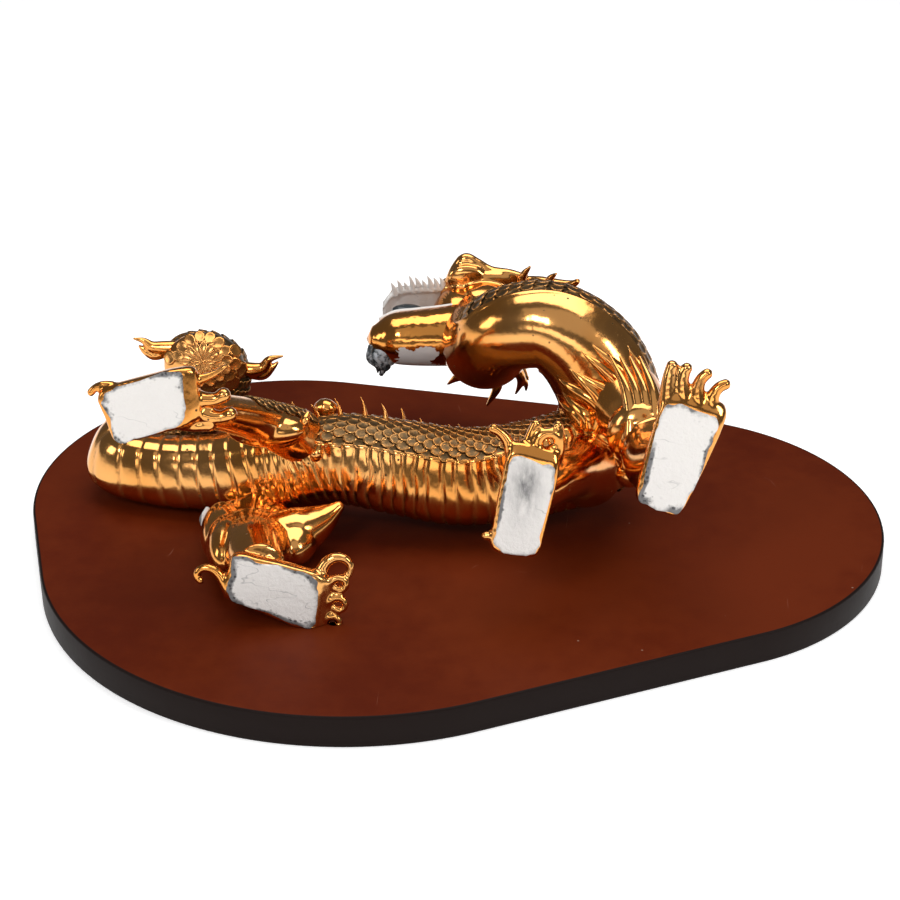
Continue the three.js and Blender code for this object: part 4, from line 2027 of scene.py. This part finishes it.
    def mouth(self, ceramic: bpy.types.Material) -> bpy.types.Object:
        """The bare palate inside the upper jaw, hollowed, with a raised gum all round.

        Args:
            ceramic: its material.

        Returns:
            The object.
        """
        rows, cols = 44, 40
        xs, halves = np.array(self.half_widths, dtype=float).T
        x = np.linspace(xs[0], 14.0, rows)
        half = soften(np.interp(x, xs, halves), 2)
        gx, ga = np.meshgrid(x, np.linspace(-1.0, 1.0, cols), indexing="ij")
        gh = np.broadcast_to(half[:, None], gx.shape)
        gum = np.exp(-((np.abs(ga) - 0.86) / 0.12) ** 2)
        front = np.exp(-((gx - xs[0] - 3.0) / 3.0) ** 2)
        fold = np.sin(gx / 1.9) * 0.35 * (1 - gum)
        hollow = self.palate_depth * (1.0 - ga ** 2) ** 0.8 * smooth(0.0, 10.0, gx - xs[0])
        depth = hollow - self.gum_height * np.maximum(gum, front) + fold
        near = np.stack([gx, self.palate - 2.0 + depth, HEAD_LEVEL + ga * gh], axis=-1)
        back = np.full_like(gx, self.palate + self.palate_thickness)
        far = np.stack([gx, back, HEAD_LEVEL + ga * gh * 0.9], axis=-1)
        points = np.vstack([near.reshape(-1, 3), far.reshape(-1, 3)])
        faces = []
        total = rows * cols
        for r in range(rows - 1):
            for c in range(cols - 1):
                a = r * cols + c
                faces.append((a, a + 1, a + cols + 1, a + cols))
                faces.append((total + a, total + a + cols, total + a + cols + 1, total + a + 1))
        rim = list(range(cols))
        rim += [r * cols + cols - 1 for r in range(1, rows)]
        rim += [(rows - 1) * cols + c for c in range(cols - 2, -1, -1)]
        rim += [r * cols for r in range(rows - 2, 0, -1)]
        for i, a in enumerate(rim):
            b = rim[(i + 1) % len(rim)]
            faces.append((a, b, total + b, total + a))
        edge = np.concatenate([np.abs(ga).reshape(-1) * 0.6, np.zeros(total)])
        return Draft().add(points, faces, edge=edge).object("dragon_palate", ceramic)

    def lip(self, ceramic: bpy.types.Material) -> bpy.types.Object:
        """The thin bare line along the lower jaw's rim, and the tongue's root behind it.

        Args:
            ceramic: its material.

        Returns:
            The object.
        """
        back = math.cos(self.lip_turn)
        out = math.sin(self.lip_turn)
        drafts = []
        for side in (1, -1):
            path = [(s.x, s.y + back * s.radius, s.z + side * out * s.radius) for s in self.jaw[1:]]
            drafts.append(strand(path, [self.lip_radius] * len(path), BACK))
        drafts.append(egg(vec(-26, 133, HEAD_LEVEL), vec(20, 3.5, 12), rows=14))
        return merged(drafts).object("dragon_lip", ceramic)

    def chip(self, ceramic: bpy.types.Material) -> bpy.types.Object:
        """The broken spot below the tail's root, where the bare body shows.

        Args:
            ceramic: its material.

        Returns:
            The object.
        """
        draft = strand([(-181, -18, 52), (-184, -24, 45), (-182, -28, 38)], (1.5, 3.6, 1.0))
        draft.numbers["edge"] = [0.75 + 0.3 * smooth(-183.0, -188.0, draft.points[0][:, 0])]
        return draft.object("dragon_bare_chip", ceramic)

    def teeth(self) -> Spots:
        """A row of teeth along each side of the upper jaw, with one long tooth in each row.

        Returns:
            The places.
        """
        spots = Spots()
        xs, halves = zip(*self.half_widths)
        for i, x in enumerate(np.linspace(*self.tooth_span, self.tooth_count)):
            half = float(np.interp(x, xs, halves))
            height = self.tooth_height + self.tooth_change * math.sin(2.3 * i)
            if i == self.long_tooth:
                height = self.long_tooth_height
            for side in (1, -1):
                at = vec(x, self.palate - 1.0, HEAD_LEVEL + side * (half - 1.6))
                out = unit(vec(-0.12, -0.35, side))
                spots.add(at, out, vec(1, 0, 0), vec(self.tooth_length, self.tooth_width, height))
        return spots

    @staticmethod
    def painted_mouth_shadow() -> Draft:
        """A black egg that paints the shadow in the open mouth, between tongue and palate.

        Returns:
            The draft.
        """
        draft = egg(vec(-36, 140, 139), vec(12, 7, 4), rows=14)
        # Stain 1 keeps the bloom off, so this painted mouth shadow stays plain black.
        draft.numbers["stain"] = [np.ones(len(draft.points[0]))]
        return draft

    def tuft(self, dark: bpy.types.Material) -> bpy.types.Object:
        """The dark tuft of beard at the chin, with the painted mouth shadow made in the same dark glaze.

        Args:
            dark: its material.

        Returns:
            The object.
        """
        drafts = [egg(vec(-54, 104, 119), vec(8, 7, 8), rows=16)]
        for i in range(self.hair_count):
            lean = (i - 4) * 1.9
            x = -55 + lean * 0.8
            y = 103 + 1.3 * (i % 3)
            drop = 23 - 2.2 * abs(i - 3) - (i % 2) * 3
            path = [(x - 2, y + 2, 125 - (i % 3) * 2), (x - 2 + lean * 0.2, y - 3, 117)]
            path += [(x + 2, y - 1, 117 - drop * 0.5), (x * 0.5 - 28, y + 1, 116 - drop * 0.8)]
            drafts.append(strand(path, (2.6, 2.8, 1.7, 0.6)))
        # The painted mouth shadow joins the tuft's object.
        drafts.append(self.painted_mouth_shadow())
        return merged(drafts).object("dragon_chin_tuft", dark)


# --------------------------------------------------------------------------- spines, hair and fins


@dataclass(frozen=True)
class Crest:
    """Spines along the back and beneath the neck's bend."""

    first: float = 341.0
    last: float = 716.0
    pitch: float = 13.2
    shown: int = 6
    lift_from: float = 116.0
    lift_to: float = 168.0
    height: float = 12.0
    height_change: float = 2.0

    def spots(self, body: Body) -> Spots:
        """Where the spines stand.

        Args:
            body: the swept body.

        Returns:
            The places.
        """
        spots = Spots()
        count = int((self.last - self.first) / self.pitch)
        for i in range(count):
            share = min(max((i - self.shown + 1) / 1.5, 0.0), 1.0)
            s = np.array([self.first + self.pitch * i])
            turn = np.array([-math.radians(self.lift_from + (self.lift_to - self.lift_from) * share)])
            at = body.tube.skin(s, turn, np.array([-1.0]))[0]
            out = body.tube.out(s, turn)[0]
            tall = self.height + self.height_change * math.sin(2.1 * i)
            spots.add(at, unit(out + vec(0, 0, 0.45)), body.tube.at(s, "tangent")[0], vec(11.0, 7.0, tall))
        return spots


@dataclass(frozen=True)
class Strand:
    """A lock's path and its radius at each point of it."""

    path: tuple[Spot, ...]
    thick: tuple[float, ...]


@dataclass(frozen=True)
class Locks:
    """Flame-shaped locks: loose ones on tail and neck, and those lying on the shoulder."""

    flames: tuple[Strand, ...] = (
        Strand(
            ((-212, 120, 116), (-224, 120, 116), (-233, 120, 117), (-239, 120, 122), (-247, 120, 124)),
            (6, 5.6, 4.6, 2.6, 0.8),
        ),
        Strand(
            ((-224, 120, 112), (-232, 120, 110), (-239, 120, 114), (-243, 120, 118)),
            (4.5, 4.4, 3.0, 0.8),
        ),
        Strand(
            ((-168, 122, 98), (-156, 120, 97), (-148, 120, 99), (-143, 120, 106), (-132, 120, 109)),
            (6, 6.0, 4.8, 3.0, 0.8),
        ),
        Strand(
            ((-158, 120, 94), (-148, 120, 93), (-141, 120, 99), (-136, 120, 104)),
            (4.5, 4.4, 3.0, 0.8),
        ),
        Strand(
            ((-100, 40, 102), (-96, 36, 107), (-90, 36, 104)),
            (6, 7.5, 6),
        ),
        Strand(
            ((-103, -8, 88), (-100, -17, 96), (-98, -14, 103)),
            (3, 5, 1.5),
        ),
        Strand(
            ((-112, 4, 110), (-109, -6, 117), (-106, -2, 123)),
            (3, 4.5, 1.5),
        ),
        Strand(
            ((10, 92, 108), (1, 97, 101), (-5, 101, 94)),
            (4.5, 3.0, 0.8),
        ),
        Strand(
            ((34, 94, 106), (33, 92, 96), (29, 92, 87), (25, 92, 80)),
            (4.6, 3.8, 2.4, 0.8),
        ),
        Strand(
            ((46, 88, 116), (51, 90, 105), (50, 92, 97), (47, 92, 90)),
            (4.6, 3.8, 2.2, 0.8),
        ),
        Strand(
            ((51, 90, 105), (55, 92, 99), (55, 92, 93)),
            (3.0, 2.2, 0.8),
        ),
    )
    skin_grid: float = 0.8
    softening: int = 3
    shoulder_station: int = 15
    shoulder_count: int = 9
    shoulder_steps: int = 10
    # Where the first and last lock start and end, as turns from the belly in degrees.
    start_turns: tuple[float, float] = (-30.0, 44.0)
    added_turns: tuple[float, float] = (-26.0, 18.0)
    thickness: float = 7.0
    elbow_count: int = 4

    def loose(self, gold: bpy.types.Material) -> bpy.types.Object:
        """The tail's two flame fins and the small barbs below the neck.

        Args:
            gold: their material.

        Returns:
            The object.
        """
        drafts = [strand(flame.path, flame.thick) for flame in self.flames]
        locks = merged(drafts).object("dragon_flame_fins", gold)
        return Finisher.fused(locks, self.skin_grid, self.softening)

    def shoulder(self, body: Body, gold: bpy.types.Material) -> bpy.types.Object:
        """Locks lying over the shoulder, fanning up from the elbow.

        Args:
            body: the swept body.
            gold: their material.

        Returns:
            The object.
        """
        drafts = [self.shoulder_lock(body.tube, i) for i in range(self.shoulder_count)]
        for i in range(self.elbow_count):
            path = [(121 + 4 * i, -47, 100), (126 + 5 * i, -44, 122)]
            path += [(124 + 6 * i, -24, 148), (112 + 7 * i, -2, 168)]
            drafts.append(strand(path, (2.6, 6.0, 5.0, 0.9)))
        return merged(drafts).object("dragon_shoulder_locks", gold)

    def shoulder_lock(self, tube: Tube, i: int) -> Draft:
        """One lock lying on the skin, bowed like a flame.

        Args:
            tube: the swept body.
            i: its place in the fan.

        Returns:
            The draft.
        """
        share = i / (self.shoulder_count - 1)
        s0 = tube.stations_at[self.shoulder_station] + 14.0 + 14.0 * share
        length = 38.0 + 26.0 * math.sin(math.pi * (0.15 + 0.8 * share)) + 7.0 * math.sin(4.3 * i)
        turns = (np.interp(share, (0.0, 1.0), span) for span in (self.start_turns, self.added_turns))
        start, added = np.radians(list(turns))
        bow = math.radians(9.0 + 5.0 * math.sin(3.7 * i))
        path = []
        thick = []
        for k in range(self.shoulder_steps + 1):
            a = k / self.shoulder_steps
            s = np.array([s0 + length * a])
            turn = np.array([start + added * a + bow * math.sin(math.pi * a * 1.5)])
            path.append(tuple(tube.skin(s, turn, np.array([-0.8 + 2.0 * a * (1 - a)]))[0]))
            thick.append(max(self.thickness * math.sin(math.pi * (0.25 + 0.75 * a)) ** 0.8, 0.7))
        return strand(path, thick, (0.0, -1.0, 0.4))


# --------------------------------------------------------------------------- studio


@dataclass(frozen=True)
class Softbox:
    """A square soft light."""

    name: str
    at: tuple[float, float, float]
    size: tuple[float, float]
    power: float


@dataclass(frozen=True)
class Studio:
    """Camera, floor, soft lights and surround, in metres."""

    target: tuple[float, float, float] = (-0.0031, 0.0574, 0.060)
    camera_drop: float = 28.0
    camera_distance: float = 1.9
    lens: float = 100.0
    sensor: float = 36.0
    floor_half: float = 14.0
    lit_point: tuple[float, float, float] = (0.0, 0.0, 0.08)
    surround: Colour = (0.125, 0.125, 0.125)
    boxes: tuple[Softbox, ...] = (
        Softbox("key_light", (-0.62, -1.25, 1.25), (0.34, 0.34), 6.5),
        Softbox("side_light", (1.15, -0.75, 0.95), (0.32, 0.6), 7.0),
        Softbox("front_light", (-0.2, -2.3, 0.75), (2.2, 0.45), 7.0),
        Softbox("left_light", (-1.7, -0.5, 0.8), (0.5, 0.7), 4.5),
        Softbox("top_light", (0.1, 0.45, 2.1), (2.4, 1.4), 34.0),
        Softbox("overhead_light", (0.1, -1.4, 2.0), (2.8, 1.6), 6.5),
    )

    def build(self) -> bpy.types.Object:
        """Sets everything up.

        Returns:
            The floor, which belongs to the stage.
        """
        scene = bpy.context.scene
        world = bpy.data.worlds.new("surround")
        world.use_nodes = True
        world.node_tree.nodes["Background"].inputs["Color"].default_value = (*self.surround, 1.0)
        scene.world = world
        scene.view_settings.view_transform = "Standard"
        down = math.radians(self.camera_drop)
        look = Vector((0.0, math.cos(down), -math.sin(down)))
        camera = Finisher.linked("camera", bpy.data.cameras.new("camera"))
        camera.data.lens = self.lens
        camera.data.sensor_width = self.sensor
        camera.location = Vector(self.target) - look * self.camera_distance
        camera.rotation_euler = look.to_track_quat("-Z", "Y").to_euler()
        scene.camera = camera
        for box in self.boxes:
            lamp = bpy.data.lights.new(box.name, "AREA")
            lamp.shape = "RECTANGLE"
            lamp.size, lamp.size_y = box.size
            lamp.energy = box.power
            obj = Finisher.linked(box.name, lamp)
            obj.location = box.at
            towards = Vector(self.lit_point) - obj.location
            obj.rotation_euler = towards.to_track_quat("-Z", "Y").to_euler()
        half = self.floor_half
        corners = [(-half, -half, 0), (half, -half, 0), (half, half, 0), (-half, half, 0)]
        mesh = bpy.data.meshes.new("floor")
        mesh.from_pydata(corners, [], [(0, 1, 2, 3)])
        mesh.materials.append(PaleFloor().build())
        return Finisher.linked("floor", mesh)


# --------------------------------------------------------------------------- putting it together


class Slot(Enum):
    """The record's material slots."""

    WOOD = "lacquered_wood"
    GILT = "gilt_ceramic"


def hand_over(piece: bpy.types.Object, node: str) -> None:
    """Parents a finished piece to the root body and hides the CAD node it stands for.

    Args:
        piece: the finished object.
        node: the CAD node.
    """
    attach(piece, "root")
    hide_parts(node)
    log.info("%s: %d faces", piece.name, len(piece.data.polygons))


# How much copies differ in size, as a share of it.
SCALE_JITTER = 0.06
SPINE_JITTER = 0.08
TOOTH_JITTER = 0.12


def main() -> None:
    """Builds every piece."""
    logging.basicConfig(level=logging.INFO, format="%(message)s")
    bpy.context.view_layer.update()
    Studio().build()
    gold = GoldLustre().build()
    worn = WornLustre().build()
    ceramic = BareCeramic().build()
    dark = DarkGlaze().build()

    hand_over(Board().build(), "board")

    body = Body()
    coil = Coil()
    head = Head()
    locks = Locks()
    scales = Repeater("scale_rows", Shapes.scale(1.0), gold)
    bright_scales = Repeater("coil_scale_rows", Shapes.scale(0.5), gold)
    thorns = Repeater("spine_row", Shapes.thorn(), gold)
    teeth = Repeater("tooth_rows", Shapes.tooth(), ceramic)
    pieces = [
        body.build(gold),
        coil.build(gold),
        scales.spread("dragon_body_scales", body.scales(), SCALE_JITTER, seed=3),
        bright_scales.spread("dragon_coil_scales", coil.scales(), SCALE_JITTER, seed=4),
        thorns.spread("dragon_back_spines", Crest().spots(body), SPINE_JITTER, seed=5),
        head.skull(gold),
        head.lower_jaw(worn),
        head.mouth(ceramic),
        head.lip(ceramic),
        head.chip(ceramic),
        teeth.spread("dragon_teeth", head.teeth(), TOOTH_JITTER, seed=6),
        head.tuft(dark),
        locks.loose(gold),
        locks.shoulder(body, gold),
    ]
    for leg in legs():
        if leg.scaled_length > 0.0:
            name = f"dragon_{leg.name}_scales"
            pieces.append(scales.spread(name, leg.scales(), SCALE_JITTER, seed=7))
        pieces.append(leg.build(gold))
        pieces.append(leg.build_sole(ceramic))
    for piece in pieces:
        hand_over(piece, "dragon")


if __name__ == "__main__":
    main()
